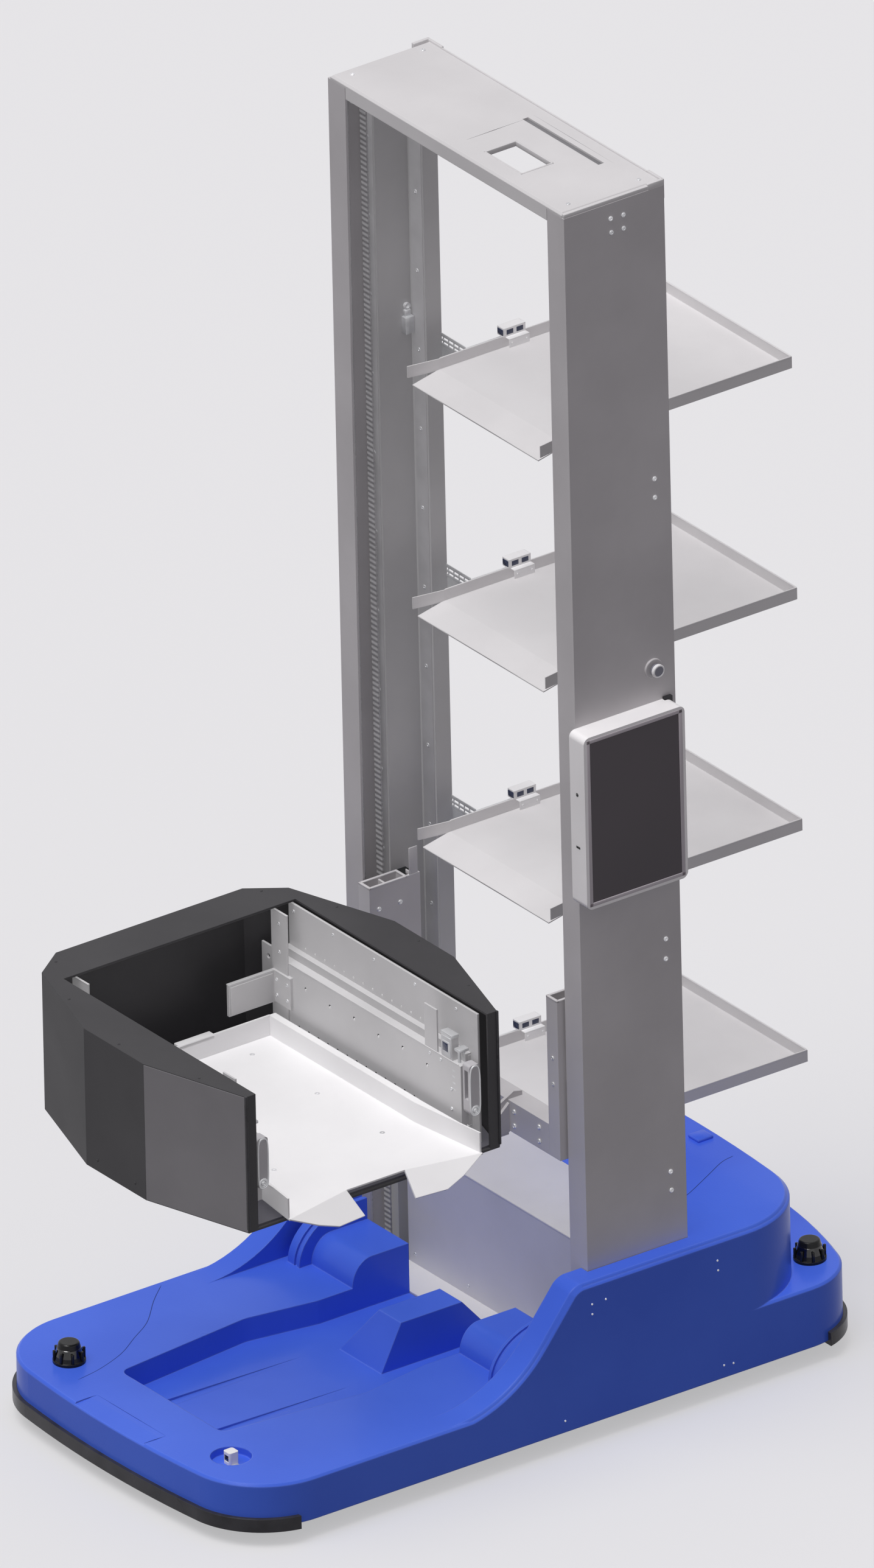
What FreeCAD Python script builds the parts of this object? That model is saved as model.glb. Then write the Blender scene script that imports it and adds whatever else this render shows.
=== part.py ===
import FreeCAD, Part
import math
import os

os.makedirs("parts", exist_ok=True)
V = FreeCAD.Vector

# A tote-carrying mobile robot, in millimetres.
# Origin: floor level, middle of the base over its bumpers. +Z up, the front faces -Y.

# Base housing
cover_length = 1380.0
cover_width = 770.0
skirt_gap = 36.0
deck_height = 116.0
rear_deck_height = 150.0
block_height = 304.0
cover_wall = 5.0
edge_chamfer = 9.0
front_corner_radius = 150.0
front_bow_radius = 2400.0
rear_corner_radius = 120.0
rear_bow_radius = 1000.0
block_corner_radius = 170.0
block_bow_radius = 3000.0
block_rear_gap = 115.0
bumper_proud = 8.0
bumper_height = 25.0
bumper_lift = 8.0
bumper_lip = 14.0
bumper_wrap = 128.0
nose_pocket_half = 100.0
nose_pocket_length = 52.0
nose_pocket_depth = 3.0

# Deck shapes in front of the mast
mast_setback = 190.0
pocket_reach = 126.0
channel_half_width = 156.0
channel_belly = 179.0
channel_depth = 45.0
channel_front_reach = 744.0
channel_front_taper = 8.0
channel_belly_reach = 458.0
channel_waist_reach = 319.0
channel_corner = 18.0
channel_bend = 60.0
fin_width = 58.0
fin_foot_reach = 430.0
fin_sweep_radius = 250.0
fin_sweep_run = 195.0
fin_shoulder_reach = 168.0
fin_shoulder_drop = 11.0
fin_top_reach = 145.0
hump_outer = 277.0
hump_height = 166.0
hump_foot_reach = 246.0
hump_crest_reach = 204.0
arch_inner = 276.0
arch_width = 34.0
arch_height = 206.0
arch_foot_reach = 272.0
arch_run = 120.0
arch_groove = 8.0
arch_groove_offset = 7.0
arch_groove_depth = 3.0
centre_box_left = 56.0
centre_box_right = 66.0
centre_box_lean = 57.0
centre_box_height = 156.0
centre_box_reach = 347.0
centre_box_slope = 44.0
centre_box_back_reach = 174.0
centre_box_back_foot = 100.0
flute_width = 24.0
flute_tip = 2.0
flute_offset = 72.0
flute_depth = 4.0
flute_start = 50.0
flute_length = 280.0

# Mast
mast_width = 690.0
mast_depth = 212.0
mast_height = 2334.0
column_face = 50.0
column_sheet = 4.0
column_rear_lip = 18.0
cover_plate = 8.0
apron_height = 30.0
cover_inset = 7.0
cap_hole_start = 67.0
cap_hole_width = 104.0
cap_hole_reach = 69.0
cap_hole_depth = 63.0
cap_slot_start = 4.0
cap_slot_width = 222.0
cap_slot_setback = 54.0
cap_slot_depth = 12.0
guide_post_width = 40.0
guide_post_depth = 69.5
guide_post_setback = 63.5
guide_rail_reach = 84.0
guide_rail_depth = 32.0
guide_wall = 4.0
tie_depth = 42.0
tie_height = 46.0

# Lower mast cabinet
cabinet_height = 306.0
cabinet_setback = 50.0
cabinet_half_width = 254.0
cabinet_sheet = 3.0
cabinet_foot = 74.0

# Shelves
shelf_count = 4
shelf_pitch = 444.3
shelf_lowest_floor = 463.0
shelf_half_width = 185.0
shelf_front_y = 190.0
shelf_rear_y = 671.0
shelf_lip_reach = 57.0
shelf_lip_drop = 12.0
shelf_rim = 20.0
shelf_sheet = 2.0
shelf_flare = 10.0
gusset_drop = 18.0
gusset_length = 130.0
gusset_start = 30.0
gusset_slope = 40.0
bracket_sheet = 4.0
bracket_height = 60.0

sensor_block_width = 19.0
sensor_block_proud = 14.0
sensor_block_length = 46.0
sensor_block_height = 16.0
sensor_block_setback = 135.0
bracket_wing = 90.0
bracket_ear_inset = 20.0

# Touch panel and stop button
panel_width = 214.0
panel_height = 330.0
panel_thickness = 43.0
panel_foot = 1017.0
panel_overhang = 14.0
panel_corner = 12.0
screen_border = 11.0
screen_depth = 3.0
button_height = 1412.0
button_setback = 60.0
collar_diameter = 36.0
collar_thickness = 4.0
button_diameter = 23.0
button_depth = 9.0
button_stem_radius = 7.0
button_travel = 4.0

# Lift carriage
carriage_foot = 498.0
carriage_height = 306.0
carriage_box_width = 32.0
carriage_box_depth = 80.0
carriage_proud = 13.0
carriage_sheet = 4.0
carriage_half_width = 290.0
carriage_tail = 27.0
beam_height = 59.0
beam_depth = 40.0
arm_plate_offset = 136.0
arm_plate_sheet = 6.0
arm_plate_reach = 113.0
arm_plate_drop = 8.0
top_plate = 8.0
top_plate_half = 142.0
bearing_outer_radius = 100.0
bearing_split_radius = 70.0
bearing_inner_radius = 45.0
bearing_height = 24.0
turn_motor_radius = 32.0
shoe_height = 60.0

# Lift belts
pulley_radius = 18.0
pulley_width = 20.0
belt_inset = 13.0
belt_thickness = 3.0
pulley_setback = 34.0
lower_pulley_height = 62.0
upper_pulley_drop = 31.0
clamp_foot = 150.0
clamp_height = 40.0
clamp_half = 5.0
bearing_block = 28.0
bearing_depth = 10.0
shaft_radius = 7.0
running_gap = 0.05
slide_gap = 0.3

# Turntable and fork shell
turntable_reach = 537.0
shell_height = 262.0
shell_foot = 586.0
shell_sheet = 4.0
shell_front = 325.0
shell_back = 325.0
shell_back_half = 198.0
shell_corner_back = 278.0
shell_corner_half = 262.0
shell_wide_back = 62.0
shell_wide_front = 112.0
shell_wide_half = 330.0
shell_mouth_half = 266.0
opening_half_width = 246.0
opening_back = 236.0
fork_floor = 4.0

# Tray
tray_floor = 608.0
tray_half_width = 185.0
tray_back = 233.0
tray_front = 329.0
tray_tip_reach = 360.0
tray_rim = 38.0
tray_sheet = 3.0
tray_flange = 11.0
tray_bend = 193.0
tray_flare = 20.0
tray_notch_half = 62.0
tongue_reach = 43.0
tongue_drop = 35.0

# Telescopic arms
plate_face = 245.0
plate_sheet = 4.0
rail_sheet = 6.0
channel_web = 5.7
plate_top = 840.0
mid_foot = 617.0
mid_top = 759.0
inner_foot = 621.3
inner_top = 744.0
stage_back = 250.0
plate_front = 302.0
stage_front = 290.0
end_plate = 6.0
inner_face = 212.0
hole_pitch = 71.0
hole_radius = 3.5
hole_start = -235.0
pusher_reach = 103.0
pusher_foot = 659.0
pusher_height = 60.0
pusher_leg = 52.0
pusher_sheet = 6.0
pusher_back = 253.0
riser_back = 258.0
riser_length = 46.0
tail_back = 291.0
tail_top = 757.0
tail_hole_back = 272.0
tail_hole_drop = 22.0
tail_hole_radius = 4.5
stage_hole_count = 7
stage_hole_drop = 36.0
stage_hole_step = 5.0
finger_length = 87.0
finger_half_width = 11.0
finger_thickness = 20.0
finger_gap = 3.0
finger_offset = 225.0
finger_pivot_height = 665.0
finger_pin_radius = 4.0
row_pitch = 28.0
row_start = -202.0
row_count = 13
row_hole_radius = 2.0
arm_motor_offset = 32.0
arm_motor_radius = 27.0
arm_motor_length = 110.0
arm_motor_start = -70.0
arm_motor_lift = 40.0
arm_foot_length = 90.0
arm_foot_width = 40.0
arm_gear_length = 36.0
arm_gear_height = 68.0

# Wheels
frame_foot = 38.0
frame_plate = 6.0
drive_wheel_radius = 62.0
drive_wheel_width = 40.0
drive_wheel_offset = 180.0
drive_wheel_y = -8.0
tyre_depth = 10.0
axle_radius = 9.0
axle_length = 24.0
hub_dish = 9.0
hub_hole_circle = 36.0
hub_hole_radius = 10.0
hub_hole_count = 6
wheel_opening_gap = 6.0
motor_radius = 18.0
motor_length = 92.0
motor_gap = 8.0
motor_foot_half = 14.0
gearbox_depth = 22.0
gearbox_half = 26.0
caster_radius = 35.0
caster_width = 24.0
caster_trail = 22.0
caster_front_side = 123.0
caster_front_inset = 225.0
caster_rear_side = 135.0
caster_rear_inset = 150.0
caster_cup_radius = 66.0
caster_cup_wall = 4.0
caster_cup_height = 104.0
caster_pin_radius = 5.0
caster_pin_length = 10.0
caster_plate_radius = 20.0
caster_plate = 5.0
caster_cheek = 4.0
caster_cheek_half = 15.0
caster_axle_radius = 4.0
caster_side_gap = 1.5

# Sensors and equipment in the base
lidar_radius = 29.0
lidar_top_radius = 18.0
lidar_height = 38.0
lidar_front_side = 150.0
lidar_front_inset = 90.0
lidar_rear_side = 93.0
lidar_rear_inset = 100.0
sensor_side = 154.0
sensor_inset = 95.0
sensor_half = 10.0
sensor_height = 24.0
recess_radius = 36.0
recess_depth = 14.0
battery_width = 320.0
battery_depth = 230.0
battery_height = 176.0
battery_gap = 24.0
grip_width = 20.0
grip_inset = 30.0
grip_margin = 50.0
grip_bar = 12.0
grip_leg = 16.0
grip_height = 30.0
box_inset = 55.0
box_side_gap = 21.0
box_length = 170.0
box_clearance = 10.0
control_box_height = 58.0
inverter_height = 50.0
rib_height = 8.0
rib_margin = 10.0
rib_count = 6

# Lift motor in the cabinet
lift_gear_half = 30.0
lift_gear_front = 14.0
lift_gear_rear = 86.0
lift_motor_offset = 50.0
lift_motor_radius = 36.0
lift_motor_height = 150.0
lift_fin_radius = 41.0
lift_fin_thickness = 8.0
lift_fin_pitch = 20.0
lift_fin_lift = 30.0
lift_fin_count = 5

half_cover = cover_width / 2
front_y = -cover_length / 2
rear_y = cover_length / 2
fin_inner = half_cover - fin_width
mast_half = mast_width / 2
mast_front = mast_setback - mast_depth / 2
mast_rear = mast_setback + mast_depth / 2
pocket_y = mast_setback - pocket_reach
cabinet_front = mast_front + cabinet_setback
frame_top = frame_foot + frame_plate
web_inner = mast_half - column_sheet
column_top = mast_height - cover_plate
guide_front = mast_front + guide_post_setback
guide_split = guide_front + guide_post_depth
guide_rear = guide_split + guide_rail_depth
guide_face = web_inner - guide_post_width
rail_face = web_inner - guide_rail_reach
carriage_front = mast_front - carriage_proud
carriage_inner = carriage_half_width - carriage_box_width
carriage_top = carriage_foot + carriage_height
beam_top = carriage_foot + beam_height
turn_y = mast_setback - turntable_reach
pulley_y = mast_front + pulley_setback
upper_pulley_height = mast_height - upper_pulley_drop
belt_outer = web_inner - belt_inset
belt_inner = belt_outer - pulley_width
shell_top = shell_foot + shell_height
caster_front = (half_cover - caster_front_side, front_y + caster_front_inset)
caster_rear = (half_cover - caster_rear_side, rear_y - caster_rear_inset)
lidar_front = (lidar_front_side - half_cover, front_y + lidar_front_inset)
lidar_rear = (half_cover - lidar_rear_side, rear_y - lidar_rear_inset)
sensor_place = (half_cover - sensor_side, front_y + sensor_inset)
battery_y = mast_rear + battery_gap
box_front = caster_front[1] + caster_cup_radius + caster_cup_wall + box_clearance
box_outer = half_cover - box_inset
box_inner = channel_belly + cover_wall + box_side_gap
box_width = box_outer - box_inner
caster_cup_top = caster_cup_height - caster_cup_wall - 2


def save(name, shape):
    shape.exportStep("parts/" + name + ".step")


def box(x0, x1, y0, y1, z0, z1):
    corner = V(min(x0, x1), min(y0, y1), min(z0, z1))
    return Part.makeBox(abs(x1 - x0), abs(y1 - y0), abs(z1 - z0), corner)


def rod(start, axis, radius, length):
    return Part.makeCylinder(radius, length, V(*start), V(*axis))


def tube(start, axis, outer, inner, length):
    return rod(start, axis, outer, length).cut(rod(start, axis, inner, length))


def slab(points, z0, z1):
    """A flat outline in plan, raised from z0 to z1."""
    wire = Part.makePolygon([V(x, y, z0) for x, y in points + points[:1]])
    return Part.Face(wire).extrude(V(0, 0, z1 - z0))


def side_slab(points, x0, x1):
    """An outline in the side view (y, z), drawn out from x0 to x1."""
    wire = Part.makePolygon([V(x0, y, z) for y, z in points + points[:1]])
    return Part.Face(wire).extrude(V(x1 - x0, 0, 0))


def arc(start, middle, end):
    return Part.Arc(V(*start), V(*middle), V(*end)).toShape()


def line(start, end):
    return Part.LineSegment(V(*start), V(*end)).toShape()


def mirror(shape):
    return shape.mirror(V(0, 0, 0), V(1, 0, 0))


def both_sides(shape):
    return [shape, mirror(shape)]


def fuse(shapes):
    whole = shapes[0].multiFuse(shapes[1:])
    return whole.removeSplitter()


def bow_corner(half_width, end_y, sign, corner, bow):
    """Where a bowed end meets its rounded corner: tangent point, corner middle and side point."""
    bow_y = end_y - sign * bow
    centre_x = half_width - corner
    centre_y = bow_y + sign * math.sqrt((bow - corner) ** 2 - centre_x ** 2)
    ux = centre_x / (bow - corner)
    uy = (centre_y - bow_y) / (bow - corner)
    tangent = (ux * bow, bow_y + uy * bow)
    middle_x = ux + 1
    size = math.hypot(middle_x, uy)
    middle = (centre_x + corner * middle_x / size, centre_y + corner * uy / size)
    return tangent, middle, (half_width, centre_y)


def plan_solid(inset, z0, z1, end=rear_y, corner=rear_corner_radius, bow=rear_bow_radius):
    """The base outline in plan, inset by a wall thickness and raised from z0 to z1."""
    half = half_cover - inset
    front = bow_corner(half, front_y + inset, -1, front_corner_radius - inset, front_bow_radius)
    rear = bow_corner(half, end - inset, 1, corner - inset, bow)
    edges = []
    left = [(-p[0], p[1]) for p in front]
    edges.append(arc((*left[0], z0), (0, front_y + inset, z0), (*front[0], z0)))
    edges.append(arc((*front[0], z0), (*front[1], z0), (*front[2], z0)))
    edges.append(line((*front[2], z0), (*rear[2], z0)))
    edges.append(arc((*rear[2], z0), (*rear[1], z0), (*rear[0], z0)))
    left_rear = [(-p[0], p[1]) for p in rear]
    edges.append(arc((*rear[0], z0), (0, end - inset, z0), (*left_rear[0], z0)))
    edges.append(arc((*left_rear[0], z0), (*left_rear[1], z0), (*left_rear[2], z0)))
    edges.append(line((*left_rear[2], z0), (*left[2], z0)))
    edges.append(arc((*left[2], z0), (*left[1], z0), (*left[0], z0)))
    return Part.Face(Part.Wire(edges)).extrude(V(0, 0, z1 - z0))


def top_edges(shape, height):
    """The edges of a solid that lie flat at one height."""
    return [e for e in shape.Edges
            if abs(e.BoundBox.ZMin - height) < 0.01 and abs(e.BoundBox.ZMax - height) < 0.01]


def fin_profile(inset, x0, x1):
    """The side sweep from the low deck up to the mast block, drawn out from x0 to x1."""
    foot_y = mast_setback - fin_foot_reach
    foot_z = deck_height - inset
    radius = fin_sweep_radius + inset
    rise = radius - math.sqrt(radius ** 2 - fin_sweep_run ** 2)
    half_run = fin_sweep_run / 2
    half_rise = radius - math.sqrt(radius ** 2 - half_run ** 2)
    sweep_end = (foot_y + fin_sweep_run, foot_z + rise)
    shoulder = (mast_setback - fin_shoulder_reach + inset, block_height - fin_shoulder_drop - inset)
    top = (mast_setback - fin_top_reach + inset, block_height - inset)
    back_y = mast_setback
    crown = ((shoulder[0] + top[0]) / 2 - 1, top[1] - fin_shoulder_drop / 3)
    edges = [
        arc((x0, foot_y, foot_z), (x0, foot_y + half_run, foot_z + half_rise), (x0, *sweep_end)),
        line((x0, *sweep_end), (x0, *shoulder)),
        arc((x0, *shoulder), (x0, *crown), (x0, *top)),
        line((x0, *top), (x0, back_y, top[1])),
        line((x0, back_y, top[1]), (x0, back_y, skirt_gap)),
        line((x0, back_y, skirt_gap), (x0, foot_y, skirt_gap)),
        line((x0, foot_y, skirt_gap), (x0, foot_y, foot_z)),
    ]
    return Part.Face(Part.Wire(edges)).extrude(V(x1 - x0, 0, 0))


def hump_profile(inset, x0, x1, foot_reach, crest_reach, height):
    """A wheel cover: its front rises from the deck in a quarter ellipse to a level crest."""
    foot = (mast_setback - foot_reach + inset, deck_height - inset)
    crest = (mast_setback - crest_reach + inset, height - inset)
    tips = [V(x0, *foot), V(x0, *crest)]
    if crest[0] - foot[0] < crest[1] - foot[1]:
        tips.reverse()
    ellipse = Part.Ellipse(tips[0], tips[1], V(x0, crest[0], foot[1]))
    edges = [
        Part.ArcOfEllipse(ellipse, 0, math.pi / 2).toShape(),
        line((x0, *crest), (x0, mast_setback, crest[1])),
        line((x0, mast_setback, crest[1]), (x0, mast_setback, skirt_gap)),
        line((x0, mast_setback, skirt_gap), (x0, foot[0], skirt_gap)),
        line((x0, foot[0], skirt_gap), (x0, *foot)),
    ]
    return Part.Face(Part.Wire(edges)).extrude(V(x1 - x0, 0, 0))


def channel_solid(inset):
    """The sunken middle of the front deck."""
    floor = deck_height - channel_depth - inset
    front = mast_setback - channel_front_reach - inset
    waist = channel_half_width + inset
    belly = channel_belly + inset
    half = [(waist - channel_front_taper, front), (belly, mast_setback - channel_belly_reach),
            (waist, mast_setback - channel_waist_reach), (waist, mast_setback)]
    outline = [(-x, y) for x, y in half] + half[::-1]
    plan = slab(outline, floor, deck_height + 1)
    upright = [e for e in plan.Edges if e.BoundBox.ZLength > channel_depth and e.BoundBox.YMax < pocket_y]
    corners = [e for e in upright if e.BoundBox.YMax < front + 1]
    bends = [e for e in upright if e.BoundBox.YMax > front + 1]
    return plan.makeFillet(channel_corner, corners).common(plan.makeFillet(channel_bend, bends))


def cover_form(inset, foot):
    """The whole base form: the outside at inset 0, the hollow at the wall thickness."""
    deck = plan_solid(inset, foot, deck_height - inset)
    rear = plan_solid(inset, foot, rear_deck_height - inset)
    rear = rear.common(box(-half_cover, half_cover, mast_setback, rear_y, foot, rear_deck_height))
    block = plan_solid(inset, foot, block_height - inset, rear_y - block_rear_gap,
                       block_corner_radius, block_bow_radius)
    block = block.common(box(-half_cover, half_cover, pocket_y + inset, rear_y, foot, block_height))
    fin = fin_profile(inset, fin_inner + inset, half_cover - inset)
    if inset == 0:
        block = block.makeChamfer(edge_chamfer, rim_behind(block, block_height, pocket_y))
        deck = deck.makeChamfer(edge_chamfer / 2, top_edges(deck, deck_height))
        rear = rear.makeChamfer(edge_chamfer / 2, rim_behind(rear, rear_deck_height, mast_setback))
        fin = fin.makeChamfer(edge_chamfer, fin_rim(fin))
    hump = hump_profile(inset, channel_half_width + inset, hump_outer - inset,
                        hump_foot_reach, hump_crest_reach, hump_height)
    arch = hump_profile(inset, arch_inner + inset, arch_inner + arch_width - inset,
                        arch_foot_reach, arch_foot_reach - arch_run, arch_height)
    pieces = [deck.cut(channel_solid(inset)), rear, block]
    return fuse(pieces + both_sides(hump) + both_sides(arch) + both_sides(fin))


def rim_behind(shape, height, y):
    """The edges of a top face, but for its front one."""
    return [e for e in top_edges(shape, height) if e.BoundBox.YMax > y + 1]


def fin_rim(fin):
    """The outer edge of a side sweep, from its foot to the mast block."""
    foot_y = mast_setback - fin_foot_reach
    outer = [e for e in fin.Edges if abs(e.BoundBox.XMin - half_cover) < 0.01]
    return [e for e in outer if e.BoundBox.ZMin > deck_height - 1 and e.BoundBox.YMax > foot_y + 1
            and e.BoundBox.YMin < mast_setback - 1]


def centre_box(inset):
    """The wedge-nosed box in the middle of the channel; its left side leans inwards."""
    foot = deck_height - channel_depth
    nose = mast_setback - centre_box_reach
    back = mast_setback - centre_box_back_reach
    left = inset - centre_box_left
    outline = [(nose + inset, foot - inset), (nose + centre_box_slope + inset, centre_box_height - inset),
               (back - inset, centre_box_height - inset), (pocket_y - inset, centre_box_back_foot - inset),
               (pocket_y - inset, foot - inset)]
    body = side_slab(outline, left, centre_box_right - inset)
    lean = [V(left, nose, foot), V(left + centre_box_lean, nose, centre_box_height),
            V(left - 1, nose, centre_box_height), V(left - 1, nose, foot)]
    wedge = Part.Face(Part.makePolygon(lean + lean[:1])).extrude(V(0, pocket_y - nose, 0))
    return body.cut(wedge)


def flute(x):
    """A shallow wedge in the channel floor that narrows and runs out to nothing."""
    floor = deck_height - channel_depth
    start = mast_setback - channel_front_reach + flute_start
    end = start + flute_length
    half = flute_width / 2
    body = side_slab([(start, floor + 1), (start, floor - flute_depth), (end, floor), (end, floor + 1)],
                     x - half, x + half)
    plan = [(x - half, start), (x + half, start), (x + flute_tip, end), (x - flute_tip, end)]
    return body.common(slab(plan, floor - flute_depth, floor + 1))


def base_cover():
    outside = fuse([cover_form(0, skirt_gap), centre_box(0)])
    low = skirt_gap - 1
    inside = cover_form(cover_wall, low).fuse(centre_box(cover_wall))
    closing = box(-fin_inner, fin_inner, pocket_y - cover_wall, pocket_y, frame_top, block_height)
    shell = outside.cut(inside.cut(closing))
    shell = shell.cut(box(-fin_inner, fin_inner, pocket_y, mast_rear + 1, low, block_height + 1))
    shell = shell.cut(box(-mast_half - 1, mast_half + 1, mast_front - 1, mast_rear + 1, low, block_height + 1))
    for x in (-flute_offset, flute_offset):
        shell = shell.cut(flute(x))
    groove_x = arch_inner + arch_groove_offset
    groove = hump_profile(0, groove_x, groove_x + arch_groove, arch_foot_reach,
                          arch_foot_reach - arch_run, arch_height)
    core = hump_profile(arch_groove_depth, groove_x, groove_x + arch_groove, arch_foot_reach,
                        arch_foot_reach - arch_run, arch_height)
    ring = groove.cut(core).cut(box(0, half_cover, front_y, rear_y, low, deck_height))
    shell = shell.cut(ring).cut(mirror(ring))
    x, y = sensor_place
    boss = rod((x, y, deck_height - recess_depth - cover_wall), (0, 0, 1), recess_radius + cover_wall,
               recess_depth)
    bowl = rod((x, y, deck_height - recess_depth), (0, 0, 1), recess_radius, recess_depth + 1)
    pocket = side_slab([(front_y - 1, deck_height + 1), (front_y - 1, deck_height - nose_pocket_depth),
                        (front_y + nose_pocket_length, deck_height + 1)],
                       -nose_pocket_half, nose_pocket_half)
    return fuse([shell, boss]).cut(bowl).cut(pocket)


def base_frame():
    plate = plan_solid(cover_wall, frame_foot, frame_top)
    low = frame_foot - 1
    high = frame_top + 1
    gap = wheel_opening_gap
    reach = drive_wheel_radius + gap
    wheel = box(drive_wheel_offset - gap, drive_wheel_offset + drive_wheel_width + gap,
                drive_wheel_y - reach, drive_wheel_y + reach, low, high)
    reach = pulley_radius + 8
    pulley = box(belt_inner - 4, belt_outer + 4, pulley_y - reach, pulley_y + reach, low, high)
    plate = cut_all(plate, both_sides(wheel) + both_sides(pulley))
    cups = []
    for x, y in caster_places():
        plate = plate.cut(rod((x, y, frame_foot - 1), (0, 0, 1), caster_cup_radius, frame_plate + 2))
        outer = rod((x, y, frame_foot), (0, 0, 1), caster_cup_radius + caster_cup_wall,
                    caster_cup_height - frame_foot)
        inner = rod((x, y, frame_foot - 1), (0, 0, 1), caster_cup_radius,
                    caster_cup_top - frame_foot)
        bore = rod((x, y, frame_foot), (0, 0, 1), caster_pin_radius + running_gap, caster_cup_height)
        cups.append(outer.cut(inner).cut(bore))
    return fuse([plate] + cups)


def caster_places():
    places = []
    for x, y in (caster_front, caster_rear):
        places += [(x, y), (-x, y)]
    return places


def bumper(sign):
    """A soft strip along the foot of the cover, round one end and a little up the sides."""
    low = skirt_gap - bumper_lift
    outer = plan_solid(-bumper_proud, low, low + bumper_height)
    ring = outer.cut(plan_solid(0, skirt_gap, low + bumper_height + 1))
    ring = ring.cut(plan_solid(bumper_lip, low - 1, low + bumper_height))
    end = rear_y - bumper_wrap
    reach = box(-half_cover - bumper_proud, half_cover + bumper_proud, end, rear_y + bumper_proud + 1,
                low - 1, low + bumper_height + 1)
    if sign < 0:
        reach = reach.mirror(V(0, 0, 0), V(0, 1, 0))
    return ring.common(reach)


def lidar(x, y, z):
    """A tapered scanner head with a waist for its window."""
    foot = Part.makeCylinder(lidar_radius, lidar_height * 0.14, V(x, y, z))
    body = Part.makeCone(lidar_radius - 3, lidar_top_radius, lidar_height * 0.86, V(x, y, z + lidar_height * 0.14))
    body = body.makeFillet(4, [e for e in body.Edges if e.BoundBox.ZMin > z + lidar_height - 0.1])
    return foot.fuse(body).removeSplitter()


def corner_sensor():
    x, y = sensor_place
    floor = deck_height - recess_depth
    half = sensor_half
    body = box(x - half, x + half, y - half, y + half, floor, floor + sensor_height)
    body = body.makeFillet(4, [e for e in body.Edges if e.BoundBox.ZLength > sensor_height - 1])
    window = box(x - half + 4, x + half - 4, y - half - 1, y - half + 2, floor + 6, floor + sensor_height - 6)
    return body.cut(window)


def battery_pack():
    half = battery_width / 2
    case = box(-half, half, battery_y, battery_y + battery_depth, frame_top, frame_top + battery_height)
    case = case.makeChamfer(5, [e for e in case.Edges if e.BoundBox.ZMax > frame_top + battery_height - 1])
    top = frame_top + battery_height
    left = grip_inset - half
    bow = box(left, left + grip_width, battery_y + grip_margin, battery_y + battery_depth - grip_margin,
              top, top + grip_height)
    reach = grip_margin + grip_leg
    hand = box(left - 1, left + grip_width + 1, battery_y + reach, battery_y + battery_depth - reach,
               top, top + grip_height - grip_bar)
    return fuse([case] + both_sides(bow.cut(hand)))


def finned_box(side, height):
    """An electronics box with cooling ribs on its lid."""
    rear = box_front + box_length
    lid = frame_top + height - rib_height
    pieces = [box(box_inner, box_outer, box_front, rear, frame_top, lid)]
    step = box_width / rib_count
    for index in range(rib_count):
        x = box_inner + index * step + step / 4
        pieces.append(box(x, x + step / 2, box_front + rib_margin, rear - rib_margin, lid, lid + rib_height))
    body = fuse(pieces)
    return body if side > 0 else mirror(body)


def drive_motors():
    """A gear motor outboard of each drive wheel, on a foot; its output bore takes the wheel shaft."""
    start = drive_wheel_offset + drive_wheel_width + motor_gap
    centre = (start, drive_wheel_y, drive_wheel_radius)
    motor = rod(centre, (1, 0, 0), motor_radius, motor_length)
    gear = box(start, start + gearbox_depth, drive_wheel_y - gearbox_half, drive_wheel_y + gearbox_half,
               frame_top, drive_wheel_radius + gearbox_half)
    foot = box(start, start + motor_length, drive_wheel_y - motor_foot_half, drive_wheel_y + motor_foot_half,
               frame_top, drive_wheel_radius)
    bore = rod(centre, (1, 0, 0), axle_radius + running_gap, axle_length - motor_gap + 2)
    motor = fuse([motor, gear, foot]).cut(bore)
    return Part.makeCompound(both_sides(motor))


def drive_wheel(side):
    outer = drive_wheel_offset + drive_wheel_width
    centre = (drive_wheel_offset, drive_wheel_y, drive_wheel_radius)
    tyre = rod(centre, (1, 0, 0), drive_wheel_radius, drive_wheel_width)
    tyre = tyre.makeFillet(5, [e for e in tyre.Edges if e.BoundBox.XLength < 0.01])
    dish = rod(centre, (1, 0, 0), drive_wheel_radius - tyre_depth, hub_dish)
    axle = rod((outer, drive_wheel_y, drive_wheel_radius), (1, 0, 0), axle_radius, axle_length)
    holes = []
    for index in range(hub_hole_count):
        angle = 2 * math.pi * index / hub_hole_count
        y = drive_wheel_y + hub_hole_circle * math.cos(angle)
        z = drive_wheel_radius + hub_hole_circle * math.sin(angle)
        holes.append(rod((drive_wheel_offset, y, z), (1, 0, 0), hub_hole_radius, drive_wheel_width))
    wheel = cut_all(fuse([tyre.cut(dish), axle]), holes)
    return wheel if side > 0 else mirror(wheel)


def caster_fork(x, y):
    """Swivel plate, pin and two cheeks that trail behind the pin."""
    top = caster_cup_top - caster_plate - 2
    plate = rod((x, y, top), (0, 0, 1), caster_plate_radius, caster_plate)
    pin = rod((x, y, top), (0, 0, 1), caster_pin_radius, caster_pin_length)
    half = caster_cheek_half
    axle_y = y + caster_trail
    profile = [(y - half, top), (y + half, top), (axle_y + 9, caster_radius + 4), (axle_y + 6, caster_radius - 8),
               (axle_y - 6, caster_radius - 8), (axle_y - 9, caster_radius + 4)]
    inner = caster_width / 2 + caster_side_gap
    outer = inner + caster_cheek
    cheeks = [side_slab(profile, x + inner, x + outer), side_slab(profile, x - outer, x - inner)]
    web = box(x - outer, x + outer, y - half, y + half, top - caster_cheek, top)
    axle = rod((x - outer, axle_y, caster_radius), (1, 0, 0), caster_axle_radius, 2 * outer)
    return fuse([plate, pin, web, axle] + cheeks)


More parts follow.
